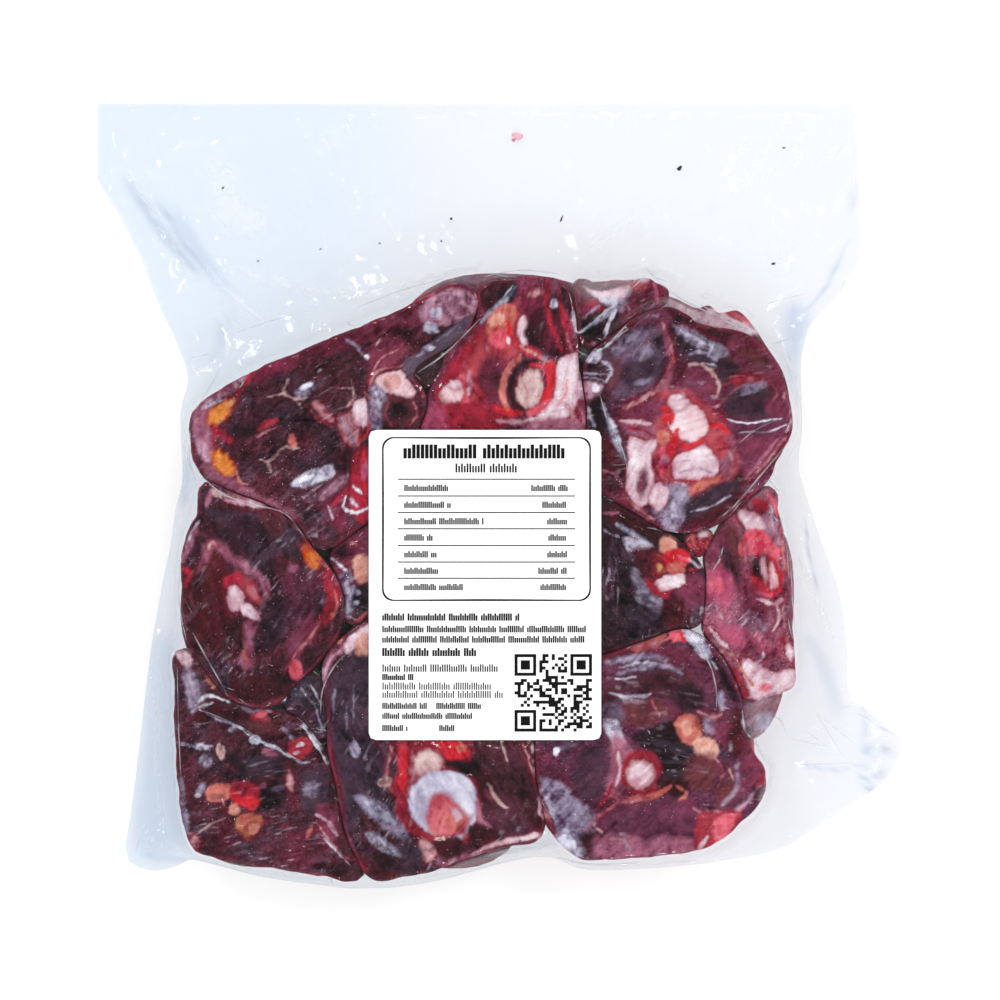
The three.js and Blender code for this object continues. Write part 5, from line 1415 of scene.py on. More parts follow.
def grown(field):  # each value raised to its highest neighbour's
    tall = np.maximum(field, np.maximum(np.roll(field, 1, 0), np.roll(field, -1, 0)))
    return np.maximum(tall, np.maximum(np.roll(tall, 1, 1), np.roll(tall, -1, 1)))


def drape(rest, pull, rounds):  # a tight film that can't go below rest
    height = rest.copy()
    for turn in range(rounds):
        level = (height[1:-1, :-2] + height[1:-1, 2:] + height[:-2, 1:-1] + height[2:, 1:-1]) / 4
        height[1:-1, 1:-1] = np.maximum(rest[1:-1, 1:-1], level - pull)
    return height


def softened(field, passes):
    for turn in range(passes):
        field = field.copy()
        sides = field[1:-1, :-2] + field[1:-1, 2:] + field[:-2, 1:-1] + field[2:, 1:-1]
        field[1:-1, 1:-1] = field[1:-1, 1:-1] / 2 + sides / 8
    return field


class HeightGrid:  # values over a square grid, read between its points
    def __init__(self, x0, y0, step, values):
        self.x0, self.y0, self.step, self.values = x0, y0, step, values

    def at(self, x, y):
        rows, columns = self.values.shape
        u = np.clip((x - self.x0) / self.step, 0, columns - 1.001)
        v = np.clip((y - self.y0) / self.step, 0, rows - 1.001)
        i, j = np.floor(u).astype(int), np.floor(v).astype(int)
        s, t, q = u - i, v - j, self.values
        near = q[j, i] * (1 - s) + q[j, i + 1] * s
        far = q[j + 1, i] * (1 - s) + q[j + 1, i + 1] * s
        return near * (1 - t) + far * t


def filmHeights():  # the film's upper and lower walls, and the distance outside the chops
    step = filmShape["step"]
    xs, ys = np.arange(-172, 172.5, step), np.arange(-170, 166.5, step)
    x, y = np.meshgrid(xs, ys)
    away = np.full(x.shape, 200.0)
    top, bottom = np.full(x.shape, -100.0), np.full(x.shape, 100.0)
    for chop in chops:
        low, high = chop["edge"].min(axis=0) - 45, chop["edge"].max(axis=0) + 45
        near = (x > low[0]) & (x < high[0]) & (y > low[1]) & (y < high[1])
        depth = depthInside(chop["edge"], x[near], y[near])
        away[near] = np.minimum(away[near], np.maximum(-depth, 0))
        on = np.zeros(x.shape, bool)
        on[near] = depth > 0
        z, colour, inner, lean = paintChop(chop, x[on], y[on])
        top[on] = np.maximum(top[on], z - edgeDrop(inner))
        if chop["lower"]:
            bottom[on] = np.minimum(bottom[on], chop["under"] + 0.6 * edgeDrop(inner))
    rest = np.maximum(grown(top) + filmShape["over"], looseHeight(x, y, away))
    bed = underLabel(x, y, 1.5, 0.5)
    rest = rest + (labelBed(x) - rest) * bed
    pull = filmShape["sag"] * step * step / 4
    upper = softened(drape(rest, pull, filmShape["rounds"]), 2)
    lowerRest = np.minimum(-grown(-bottom) - 0.35, looseHeight(x, y, away) - filmShape["wall"])
    lowerRest = np.where(away > 0, np.minimum(lowerRest, upper - filmShape["wall"]), lowerRest)
    lower = softened(-drape(-lowerRest, pull, filmShape["rounds"]), 1)
    grids = [HeightGrid(xs[0], ys[0], step, field) for field in (upper, np.maximum(lower, 0.12), away)]
    return [*grids, HeightGrid(xs[0], ys[0], step, softened(grown(top), 1))]


# Haze in the film, where it is creased, folded double or lifted off the meat, and what colour it lets through
filmHaze = dict(
    loose=0.05,  # haze of one wall of the loose film
    taut=0.003,
    gap=0.02,
    overMeat="#fbfcfe",
    farLeft="#f4f8fc",  # bluer and darker on the left of the loose film, fading into the right's tint
    farRight="#fafbfd",
    # painted shade let through the film, along its folds and edges and beside the chops
    blue="#e4ebf5",
    slate="#c6cfe0",
    white="#f6f7fb",
)
# Milky white marks, and blue and slate marks of painted shade along the folds and edges and beside the chops
hazeMarks = [
    stroke("white", 3.6, -140, 137, -128, 137, -114.5, 136, strength=0.3),
    patch("white", -118, 132, -110, 132, -107, 120, -98, 114, -98, 106, -114, 108, -118, 120, strength=0.5),
    stroke("white", 1.2, -76, 140, -69, 144, -62, 148, strength=0.5),
    stroke("slate", 3.6, -153, 128, -144, 114, -134, 100, -124, 89, strength=0.35),
    stroke("slate", 2, -140, 120, -131, 103, -118, 88, strength=0.3),
    stroke("blue", 5.6, -134, 116, -124, 98, -112, 82, strength=0.5),
    stroke("white", 1.6, -153, 130, -144, 116, -136, 103, -125, 87, strength=0.5),
    stroke("white", 2, -122, 94, -110, 80, -96, 69, strength=0.5),
    stroke("blue", 3.2, -108, 76, -114, 64, -118, 52, strength=0.5),
    stroke("white", 2, -114, 91, -80, 82.5, -48, 81.5, -24, 87, -7, 91, strength=0.45),
    patch("white", 32, 98, 44, 110, 60, 119, 65, 114, 50, 103, 40, 94, strength=0.3),
    patch("white", 85, 120, 96, 130, 110, 133, 108, 126, 94, 119, 87, 116, strength=0.3),
    patch("white", 110.5, 100, 116, 106, 122.5, 105, 121, 94, 113, 91, strength=0.3),
    stroke("white", 0.8, 94.5, 123, 116, 132, 144, 140, strength=0.5),
    stroke("white", 0.8, 97, 136, 120, 143, 144, 149, strength=0.5),
    stroke("white", 0.6, 104, 147, 128, 150.5, 145, 151, strength=0.45),
    stroke("white", 0.8, 80, 136, 96, 140, 112, 139, strength=0.4),
    stroke("blue", 1.2, 144, 148, 145, 128, 143, 102, strength=0.6),
    stroke("blue", 1.6, 142.5, 102, 134, 84, 126, 74, strength=0.6),
    patch("blue", 118, 76, 126, 73, 123, 52, 120, 36, 117.5, 52, strength=0.7),
    stroke("blue", 4.8, -125.5, 14, -128, 4, -129.5, -6, strength=0.7),
    stroke("white", 1.2, -127, 20, -129.5, 8, -131, -4, strength=0.5),
    patch("blue", -140, -60, -133, -60, -131, -92, -129.5, -124, -129, -144, -140, -149, -148, -146,
          -145, -100, strength=0.55),
    stroke("white", 1.2, -144, -64, -141, -92, -140, -124, -136, -144, strength=0.4),
    stroke("slate", 1.2, -134, -64, -132, -92, -131, -120, strength=0.3),
    stroke("white", 0.8, -146.5, -136, -140, -145, -129, -147, strength=0.5),
    stroke("blue", 2.4, -147, -149, -136, -151, -120, -150.5, strength=0.6),
    stroke("blue", 3.2, -5.5, -147, 8, -145, 22.5, -142.5, strength=0.8),
    stroke("white", 2.4, -5, -146.5, 8, -144.5, 22.5, -141.5, strength=0.4),
    stroke("white", 1.2, 24, -149, 48, -152, 80, -150.5, strength=0.3),
    stroke("blue", 1.6, 149, -87, 150.5, -108, 149, -124, strength=0.8),
    stroke("white", 2, 152, -92, 155, -108, 151, -124, strength=0.5),
    stroke("slate", 1.2, 157, -96, 157.5, -109, 153.5, -121, strength=0.4),
    stroke("blue", 1.6, 123, -112, 138, -114.5, 149, -112, strength=0.5),
    stroke("white", 2.8, 104, -106.5, 110, -112, 104, -124, strength=0.3),
    stroke("slate", 1.2, 140, -148, 149, -131, 158, -112, strength=0.4),
    stroke("blue", 5.6, 126, -60, 134, -76, 139, -92, strength=0.35),
    stroke("white", 1.2, 122, -28, 129, -44, 136, -60, strength=0.4),
    stroke("slate", 0.8, 125, -12, 126.5, -28, 130.5, -42.5, strength=0.3),
    patch("white", 30, 85, 40, 87, 54.5, 88, 62, 91, 56, 83, 44, 79, 36, 77, strength=0.35),
    stroke("white", 1.6, 40, 89, 56, 91, 72, 86, 88, 77.5, 104, 69, strength=0.35),
    stroke("white", 1.2, 114.5, 56, 119, 40, 120, 24, strength=0.35),
]


def paintFilm(x, y, upper, away, meatTop):  # haze, and the colour that comes through
    gap = upper - meatTop
    inside = smoothStep(1.5, -0.5, away)
    lifted = smoothStep(0.8, 5, gap) * inside
    haze = filmHaze["loose"] * (1 - inside) + filmHaze["taut"] + filmHaze["gap"] * lifted
    haze = haze * (1 + 0.25 * cloud(x, y, 26, 501) + 0.2 * cloud(x, y, 6, 502))
    left, right = linear(filmHaze["farLeft"]), linear(filmHaze["farRight"])
    clear = left + (right - left) * smoothStep(-90, 20, x + 12 * cloud(x, y, 30, 503))[:, None]
    clear = linear(filmHaze["overMeat"]) * inside[:, None] + clear * (1 - inside)[:, None]
    for mark in hazeMarks:
        depth, soft = markDepth(mark, x, y, 0.4 * mark.get("width", 12))
        cover = mark["strength"] * smoothStep(-soft, soft, depth + 0.25 * noise(x, y, 3, 504))
        if mark["tissue"] == "white":
            haze = haze + cover * (1 - haze) * 0.8
        else:
            # the blue and slate marks paint shade into the colour the film lets through
            clear = clear + (linear(filmHaze[mark["tissue"]]) - clear) * cover[:, None]
    return np.clip(haze, 0, 0.95), clear


def filmMaterial():  # clear polyamide and polyethylene film: see-through, glossy, hazy where it is creased
    material, tree = newMaterial("clear vacuum film")
    place = addNode(tree, "ShaderNodeTexCoord")
    haze = addNode(tree, "ShaderNodeAttribute", attribute_name="haze")
    paint = addNode(tree, "ShaderNodeAttribute", attribute_name="paint")
    swell = addNode(tree, "ShaderNodeTexNoise", {"Scale": 140, "Detail": 1},
                    {"Vector": place.outputs["Object"]})  # the film follows lumps about 7 mm apart
    crinkle = addNode(tree, "ShaderNodeTexNoise", {"Scale": 110, "Detail": 2, "Distortion": 1.4},
                      {"Vector": place.outputs["Object"]})
    offLine = addNode(tree, "ShaderNodeMath", {1: 0.5}, {0: crinkle.outputs["Fac"]}, operation="SUBTRACT")
    midLine = addNode(tree, "ShaderNodeMath", None, {0: offLine.outputs["Value"]}, operation="ABSOLUTE")
    wrinkle = addNode(tree, "ShaderNodeMapRange", {"From Max": 0.045, "To Min": 1.0, "To Max": 0.0},
                      {"Value": midLine.outputs["Value"]}, interpolation_type="SMOOTHSTEP")  # fine and sharp
    broad = addNode(tree, "ShaderNodeBump", {"Strength": 0.8, "Distance": 0.0012},
                    {"Height": swell.outputs["Fac"]})
    bump = addNode(tree, "ShaderNodeBump", {"Strength": 0.8, "Distance": 0.0003},
                   {"Height": wrinkle.outputs["Result"], "Normal": broad.outputs["Normal"]})
    clear = addNode(tree, "ShaderNodeBsdfTransparent", None, {"Color": paint.outputs["Color"]})
    white = colourValue(filmHaze["white"])
    front = addNode(tree, "ShaderNodeBsdfDiffuse", {"Color": white}, {"Normal": bump.outputs["Normal"]})
    through = addNode(tree, "ShaderNodeBsdfTranslucent", {"Color": white})
    milky = addNode(tree, "ShaderNodeMixShader", {0: 0.5},
                    {1: front.outputs["BSDF"], 2: through.outputs["BSDF"]})
    body = addNode(tree, "ShaderNodeMixShader", None,
                   {0: haze.outputs["Fac"], 1: clear.outputs["BSDF"], 2: milky.outputs["Shader"]})
    gloss = addNode(tree, "ShaderNodeBsdfGlossy", {"Roughness": 0.09}, {"Normal": bump.outputs["Normal"]})
    facing = addNode(tree, "ShaderNodeLayerWeight", {"Blend": 0.5})
    steep = addNode(tree, "ShaderNodeMath", {1: 4.0}, {0: facing.outputs["Facing"]}, operation="POWER")
    sheen = addNode(tree, "ShaderNodeMapRange", {"To Min": 0.03, "To Max": 0.4},
                    {"Value": steep.outputs["Value"]})
    shader = addNode(tree, "ShaderNodeMixShader", None,
                     {0: sheen.outputs["Result"], 1: body.outputs["Shader"], 2: gloss.outputs["BSDF"]})
    return surface(material, shader, "Shader")


def makeFilm(upper, lower, away, meatTop, material):
    centre, cells = np.array(filmShape["middle"]), filmShape["cells"]
    smooth = smoothLine(pouchEdge, 6, True)
    perSpan = len(smooth) // len(pouchEdge)
    wavy = smooth[sharpCorners * perSpan : 1 - perSpan]
    rimLine = np.concatenate([np.array(pouchEdge[:sharpCorners], float), wavy])
    rim = evenPoints(rimLine, 4 * cells, centre, math.radians(-135))
    spokes = rim - centre
    length = np.linalg.norm(spokes, axis=1)
    reach = np.zeros(len(rim))
    for r in np.arange(filmShape["nearest"], filmShape["farthest"], 0.5):  # the last place over a chop
        at = centre + spokes / length[:, None] * r
        reach = np.where(away.at(*at.T) <= 0.01, r, reach)
    bridge = np.arange(-12, 13)
    index = np.arange(len(rim))[:, None]
    reach = reach[(index + bridge) % len(rim)].max(axis=1)
    reach = reach[(index + bridge) % len(rim)].min(axis=1)
    reach = np.minimum(reach[(index + bridge // 2) % len(rim)].mean(axis=1), length - 4)
    block = centre + spokes / length[:, None] * reach[:, None]
    topXy, topQuads, topLoop = ringGrid(block, cells, centre)
    rings = filmShape["rings"]
    shares = (np.arange(1, rings + 1) / rings) ** filmShape["crowding"]
    points, faces = [np.column_stack([topXy, upper.at(*topXy.T)])], [topQuads]
    last, count = topLoop, len(topXy)
    for share in shares:
        at = block + (rim - block) * share
        ring = count + np.arange(len(at))
        points.append(np.column_stack([at, upper.at(*at.T)]))
        faces.append(band(last, ring))
        last, count = ring, count + len(at)
    for share in shares[::-2]:  # back under to the chops, with half as many rings
        at = block + (rim - block) * share
        z = np.minimum(lower.at(*at.T), upper.at(*at.T) - 0.5)
        ring = count + np.arange(len(at))
        points.append(np.column_stack([at, z]))
        faces.append(band(last, ring))
        last, count = ring, count + len(at)
    below, belowQuads, belowLoop = ringGrid(block, cells, centre)
    points.append(np.column_stack([below, lower.at(*below.T)]))
    faces.append(belowQuads[:, ::-1] + count)
    faces.append(band(last, belowLoop + count))
    points = np.concatenate(points)
    x, y = points[:, 0], points[:, 1]
    onTop = np.arange(len(points)) < len(topXy) + rings * len(rim)
    haze, clear = paintFilm(x, y, points[:, 2], away.at(x, y), meatTop.at(x, y))
    haze = np.where(onTop, haze, np.minimum(haze, filmHaze["loose"]))
    film = makePiece("pouch_film", points, faces, material, clear, {"haze": haze})
    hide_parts("filled_pouch")
    return film


# Sharp creases in the film, drawn tight over the chops and across the loose part: middle line and width
creaseLines = [stroke("crease", *row) for row in (
    (0.8, -123, -57, -118, -66, -114, -73, -109.5, -81),
    (0.7, -120, -88, -104, -95, -95, -101, -78, -109.5),
    (1.1, 42, -2, 56, -9, 66, -16, 78, -28, 85, -32.5),
    (0.8, 85, -32.5, 88, -28, 89.5, -22.5),
    (0.9, 117, 21, 106, 8, 94, -6, 87, -12),
    (0.8, 74, -56, 80, -64, 84, -70, 86.5, -80, 86.5, -87),
    (0.7, -81.5, -94, -78, -96, -72, -105, -69, -110.5),
    (0.9, 39, 54.5, 45, 60, 51, 66.5),
    (0.8, -33, 47, -21.5, 55, -8, 68.5),
    (1.1, 29.5, 71, 31, 63, 37, 67, 45, 74.5),
    (0.9, 97, -88, 98, -96, 103, -102, 106.5, -109),
    (0.8, 15, -101, 14.5, -114, 18, -125, 22.5, -137),
    (0.9, -72, -138, -66, -144, -60, -150.5),
    (0.7, -55, -60, -65.5, -69.5, -71, -80, -72, -90.5),
    (0.8, -119, 5, -111, -1.5, -100, -5.5, -86, -9.5, -78.5, -18.5),
    (0.8, 40, 38, 43, 28, 49, 16, 51, 8),
    (0.7, 30.5, 56, 36, 53.5, 42.5, 56),
    (0.9, 59, 91, 65.5, 82.5, 76, 76, 88, 69.5),
    (0.7, 80, 76, 89.5, 69, 101, 61.5),
    (0.6, 46.5, 76, 53.5, 81.5, 58.5, 86.5),
    (0.5, 88, 8, 97, 20, 107, 26.5, 115, 28),
    (0.5, -109.5, 64, -95, 69, -80, 73.5),
    (0.6, -113.5, 55, -117, 42.5, -121.5, 32),
    (0.6, -124, 24, -125, 12, -121.5, 1),
    (0.6, -128, -28, -129, -44, -125.5, -60),
    (0.5, -129.5, -71, -129, -92, -128, -116),
    (0.5, -59, 74.5, -40, 81.5, -21.5, 85.5),
    (0.6, -8, 85.5, 8, 89, 24, 87),
    (0.6, 40, -61, 56, -55, 70.5, -53.5),
    (0.6, 107, -90.5, 113.5, -93, 117.5, -100),
    (0.5, 117, -28, 117.5, -44, 119, -60),
    (0.5, 110.5, -4, 114.5, -20, 116, -36),
    (0.6, 22.5, -149, 36, -150.5, 56, -150.5),
)]
wrinkles = dict(onMeat=90, onLoose=34, height=0.4, widen=1.2, haze=0.42, drawnHaze=0.6, seed=31)


def ribbon(points, width, height, base):  # a thin raised fold along a line, pointed at both ends
    line = smoothLine(points, 5, False)
    along = np.gradient(line, axis=0)
    side = np.stack([-along[:, 1], along[:, 0]], 1) / (np.linalg.norm(along, axis=1)[:, None] + 1e-9)
    t = np.linspace(0, 1, len(line))
    swell = 0.12 + 0.88 * np.sin(math.pi * t) ** 0.6
    swell = swell * (1 + 0.3 * noise(line[:, 0], line[:, 1], 2.2, 77))
    profile = [(-1, -0.35), (-0.62, 0.55), (0, 1), (0.62, 0.55), (1, -0.35)]
    rings = []
    for u, v in profile:
        at = line + side * (u * width / 2 * swell)[:, None]
        rings.append(np.column_stack([at, base.at(*line.T) + 0.05 + v * height * swell]))
    return np.stack(rings, 1)  # one row of five points at each step


def crestHazeAndGlint(rings, haze):  # milky along the crest, which also stands for the crease's painted glint, and clear at both sides
    broken = smoothStep(-0.5, 0.4, noise(rings[..., 0], rings[..., 1], 2.2, 78))
    return haze * np.array([0.0, 0.6, 1.0, 0.6, 0.0]) * (0.25 + 0.85 * broken)


def makeCreases(upper, away, material):
    pick = np.random.default_rng(wrinkles["seed"])
    specs = [(mark["points"], wrinkles["widen"] * mark["width"], wrinkles["height"], wrinkles["drawnHaze"])
             for mark in creaseLines]
    sides = [chop["edge"] for chop in chops if not chop["lower"]]
    borders = np.concatenate(sides)
    turns = np.concatenate([np.roll(side, -1, axis=0) - side for side in sides])
    for k in pick.integers(0, len(borders), wrinkles["onMeat"]):  # along the sides, short ones across
        across = pick.random() < 0.45
        angle = math.atan2(turns[k][1], turns[k][0]) + (math.pi / 2 if across else 0) + pick.normal(0, 0.3)
        length, bend = (pick.uniform(1.2, 4) if across else pick.uniform(2, 9)), pick.normal(0, 0.2)
        steps = [borders[k] + pick.normal(0, 1.2, 2)]
        for turn in range(3):
            steps.append(steps[-1] + length / 3 * np.array([math.cos(angle), math.sin(angle)]))
            angle += bend
        specs.append((steps, pick.uniform(0.3, 0.7), pick.uniform(0.12, 0.3), wrinkles["haze"]))
    rim = smoothLine(pouchEdge, 4, True)
    for k in pick.integers(0, len(rim), wrinkles["onLoose"]):  # long ones across the loose film
        inward = np.array(filmShape["middle"]) - rim[k]
        inward = inward / np.linalg.norm(inward)
        start = rim[k] + inward * pick.uniform(4, 30)
        angle = math.atan2(inward[1], inward[0]) + pick.normal(0, 0.55)
        reach = min(pick.uniform(5, 26), away.at(*start) - 3)
        steps = [start + reach * u * np.array([math.cos(angle), math.sin(angle)]) for u in (0, 0.5, 1)]
        if reach > 4:
            specs.append((steps, pick.uniform(0.3, 0.6), 0.2, wrinkles["haze"]))
    points, faces, shine, count = [], [], [], 0
    for steps, width, height, haze in specs:
        rings = ribbon(steps, width, height, upper)
        onLabel = underLabel(rings[..., 0], rings[..., 1], 1.2, 0.5).max() > 0
        if onLabel or away.at(*rings[..., :2].reshape(-1, 2).T).max() > 60:
            continue
        n = len(rings)
        index = count + np.arange(n * 5).reshape(n, 5)
        after = np.roll(index, -1, axis=1)
        faces.append(np.stack([index[:-1], after[:-1], after[1:], index[1:]], -1).reshape(-1, 4))
        faces.append([index[0, ::-1], index[-1]])
        points.append(rings.reshape(-1, 3))
        shine.append(crestHazeAndGlint(rings, haze).ravel())
        count += n * 5
    points, shine = np.concatenate(points), np.clip(np.concatenate(shine), 0, 0.9)
    clear = np.tile(linear(filmHaze["overMeat"]), (len(points), 1))
    piece = makePiece("film_creases", points, faces, material, clear, {"haze": shine})
    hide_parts("filled_pouch")


# Crumbs of meat left on the film: place, length, width, turn and colour
crumbs = [
    (-113.6, 124, 1.3, 0.8, 30, "#4a4650"), (-99.2, 94, 0.9, 0.7, 0, "#5a5660"),
    (-73.6, 98.8, 1.0, 0.6, 50, "#55525e"), (-49.2, 101.2, 0.9, 0.7, 0, "#4a4650"),
    (-24, 102, 0.9, 0.7, 0, "#4a4650"), (-20, 111.2, 1.3, 0.9, 20, "#3c3540"),
    (73.6, 132, 2.2, 1.7, 10, "#2e222c"), (25.2, 111.2, 2.6, 0.8, 65, "#2e2a34"),
    (116.4, 140.4, 1.2, 0.8, 0, "#4a4650"), (112, 92.8, 1.5, 1.2, 30, "#3c3540"),
    (7.2, 145.2, 4.6, 3.0, 15, "#e2aab6"), (5.6, 143.6, 1.8, 1.3, 60, "#c9788c"),
]


def makeCrumbs(upper):
    rings = 12
    a = np.arange(rings) / rings * 2 * math.pi
    points, faces, colours = [], [], []
    for k, (x, y, long, wide, turn, hexColour) in enumerate(crumbs):
        uneven = 1 + 0.25 * np.sin(2 * a + k) + 0.15 * np.sin(3 * a + 2 * k)
        for share, up in ((1, -0.05), (1, 0.08), (0.6, 0.24), (0.05, 0.3)):
            u, v = share * long / 2 * np.cos(a) * uneven, share * wide / 2 * np.sin(a) * uneven
            at = np.column_stack(turned(u, v, turn)) + (x, y)
            points.append(np.column_stack([at, upper.at(*at.T) + up]))
        base = 4 * rings * k + np.arange(4 * rings).reshape(4, rings)
        faces += [band(base[j + 1], base[j]) for j in range(3)] + [[base[0, ::-1], base[3]]]
        colours.append(np.tile(linear(hexColour), (4 * rings, 1)))
    material, tree = newMaterial("dried crumbs of meat")
    paint = addNode(tree, "ShaderNodeAttribute", attribute_name="paint")
    shader = addNode(tree, "ShaderNodeBsdfPrincipled", {"Roughness": 0.6},
                     {"Base Color": paint.outputs["Color"]})
    surface(material, shader)
    makePiece("film_crumbs", np.concatenate(points), faces, material, np.concatenate(colours))


def grainyTone(tree, scale, detail, dark, light):  # fine noise, and two colours mixed by it
    place = addNode(tree, "ShaderNodeTexCoord").outputs["Object"]
    grain = addNode(tree, "ShaderNodeTexNoise", {"Scale": scale, "Detail": detail}, {"Vector": place})
    tone = addNode(tree, "ShaderNodeMix", {"A": colourValue(dark), "B": colourValue(light)},
                   {"Factor": grain.outputs["Fac"]}, data_type="RGBA")
    return grain.outputs["Fac"], tone.outputs["Result"]


def paperMaterial():  # coated label paper: white, smooth, a little waxy
    material, tree = newMaterial("coated label paper")
    pulp, tone = grainyTone(tree, 1500, 4, "#f3f3f5", "#fbfbfc")
    bump = addNode(tree, "ShaderNodeBump", {"Strength": 0.1, "Distance": 0.0001}, {"Height": pulp})
    shader = addNode(tree, "ShaderNodeBsdfPrincipled", {"Roughness": 0.5, "Specular IOR Level": 0.3},
                     {"Base Color": tone, "Normal": bump.outputs["Normal"]})
    return surface(material, shader)


def inkMaterial():  # black thermal print: flat black with a faint unevenness
    material, tree = newMaterial("black thermal print")
    tone = grainyTone(tree, 700, 2, "#060607", "#131315")[1]
    shader = addNode(tree, "ShaderNodeBsdfPrincipled", {"Roughness": 0.6, "Specular IOR Level": 0.2},
                     {"Base Color": tone})
    return surface(material, shader)


def roundedRectangle(x, y, width, length, corner, perCorner):
    a = np.radians(np.arange(perCorner + 1) / perCorner * 90)
    quarter = np.stack([np.cos(a), np.sin(a)], 1) * corner
    line = []
    for turn, (sx, sy) in enumerate([(1, 1), (-1, 1), (-1, -1), (1, -1)]):
        middle = (x + sx * (width / 2 - corner), y + sy * (length / 2 - corner))
        line.append(np.stack(turned(*quarter.T, 90 * turn), 1) + middle)
    return np.concatenate(line)


def makeLabel():
    cells, inset = label["cells"], label["inset"]
    outline = roundedRectangle(label["x"], label["y"], label["width"], label["length"], label["corner"], 8)
    centre = np.array([label["x"], label["y"]], float)
    border = evenPoints(outline, 4 * cells, centre, math.atan2(-label["length"], -label["width"]))
    inner = centre + (border - centre) * (1 - inset / 50)
    low, high = label["gap"], label["gap"] + label["thickness"]
    topXy, topQuads, topLoop = ringGrid(inner, cells, centre)
    levels = [(topXy, high), (border, high - inset), (border, low + inset), (topXy, low)]
    points = [np.column_stack([at, labelBed(at[:, 0]) + up]) for at, up in levels]
    count = len(topXy)
    sideTop, sideLow = count + np.arange(len(border)), count + len(border) + np.arange(len(border))
    under = count + 2 * len(border)
    faces = [topQuads, band(topLoop, sideTop), band(sideTop, sideLow), band(sideLow, topLoop + under),
             topQuads[:, ::-1] + under]
    paper = makePiece("label_paper", np.concatenate(points), faces, paperMaterial())
    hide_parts("label")
    return paper


# The print: bars for lines of type, ruled rows in a round-cornered frame, and a block of squares
printing = dict(
    ink=0.05,  # thickness of a printed mark in mm
    frameLine=0.8,
    rule=0.45,
    seed=5,
)
typeRows = [  # left, right, middle height, height of the type, share of ink
    (-38.8, 27.6, 15.4, 5.6, 0.62), (-18, 6.8, 8.8, 3.6, 0.5),
    (-47.2, 7.6, -50.8, 2.9, 0.62), (-47.2, 34.8, -55.6, 2.7, 0.58), (-47.2, 34, -59.7, 2.7, 0.58),
    (-47.2, -9.2, -64.8, 3.3, 0.62), (-47.2, -0.8, -71.2, 3.0, 0.46), (-47.2, -34.4, -74.8, 2.5, 0.62),
    (-47.2, -3.2, -78.4, 2.9, 0.42), (-47.2, 1.2, -81.7, 2.9, 0.42), (-47.2, -29.2, -86.3, 2.5, 0.58),
    (-25.6, -7.2, -86.3, 2.5, 0.58), (-47.2, -11.2, -90.3, 2.5, 0.58), (-47.2, -37.2, -95.2, 2.5, 0.58),
    (-24.4, -18.4, -95.2, 2.5, 0.58),
]
tableRows = dict(
    rules=[4.3, -2.4, -9, -15.5, -22.2, -28.8, -35.3], left=-40.8, right=30, typeLeft=-38.4, typeRight=26.8,
    names=[18.4, 18.8, 32, 11.6, 12.8, 13.6, 24], amounts=[14.4, 10, 8, 7.6, 8, 11.6, 10.8], height=2.6,
)
inkFrame = dict(x=-5.4, y=-11.6, width=83.6, length=65.6, corner=4.4)
squareCode = dict(left=5.8, top=-65.6, module=1.24, count=25, corner=7)


def typeBars():  # centre x, centre y, width and height of every printed bar
    pick = np.random.default_rng(printing["seed"])
    bars = []

    def line(left, right, y, height, ink):
        x, wordEnd = left, left
        pitch = 0.31 * height
        while x < right - 0.5 * pitch:
            if x >= wordEnd:
                wordEnd = x + pitch * pick.integers(8, 22)
            tall = height * (1.0 if pick.random() < 0.5 else 0.74)
            bars.append((x + pitch / 2, y - (height - tall) / 2, pitch * ink * 1.3, tall))
            x += pitch
            if x >= wordEnd:
                x += 1.3 * pitch

    for row in typeRows:
        line(*row)
    rows = tableRows
    for y, name, amount in zip(rows["rules"], rows["names"], rows["amounts"]):
        for x in np.arange(rows["left"], rows["right"], 3.0):
            wide = min(3.0, rows["right"] - x)
            bars.append((x + wide / 2, y, wide + 0.02, printing["rule"]))
        line(rows["typeLeft"], rows["typeLeft"] + name, y - 3.5, rows["height"], 0.58)
        line(rows["typeRight"] - amount, rows["typeRight"], y - 3.5, rows["height"], 0.58)
    return bars


def codeBars():  # nested squares at three corners, and squares at random between them: it says nothing
    pick = np.random.default_rng(printing["seed"] + 1)
    size, count, corner = squareCode["module"], squareCode["count"], squareCode["corner"]
    filled = pick.random((count, count)) < 0.48
    for row, column in ((0, 0), (0, count - corner), (count - corner, 0)):
        filled[max(row - 1, 0) : row + corner + 1, max(column - 1, 0) : column + corner + 1] = False
        filled[row : row + corner, column : column + corner] = True
        filled[row + 1 : row + corner - 1, column + 1 : column + corner - 1] = False
        filled[row + 2 : row + corner - 2, column + 2 : column + corner - 2] = True
    cells = np.argwhere(filled)
    left, top, wide = squareCode["left"], squareCode["top"], size + 0.02
    return [(left + (c + 0.5) * size, top - (r + 0.5) * size, wide, wide) for r, c in cells]


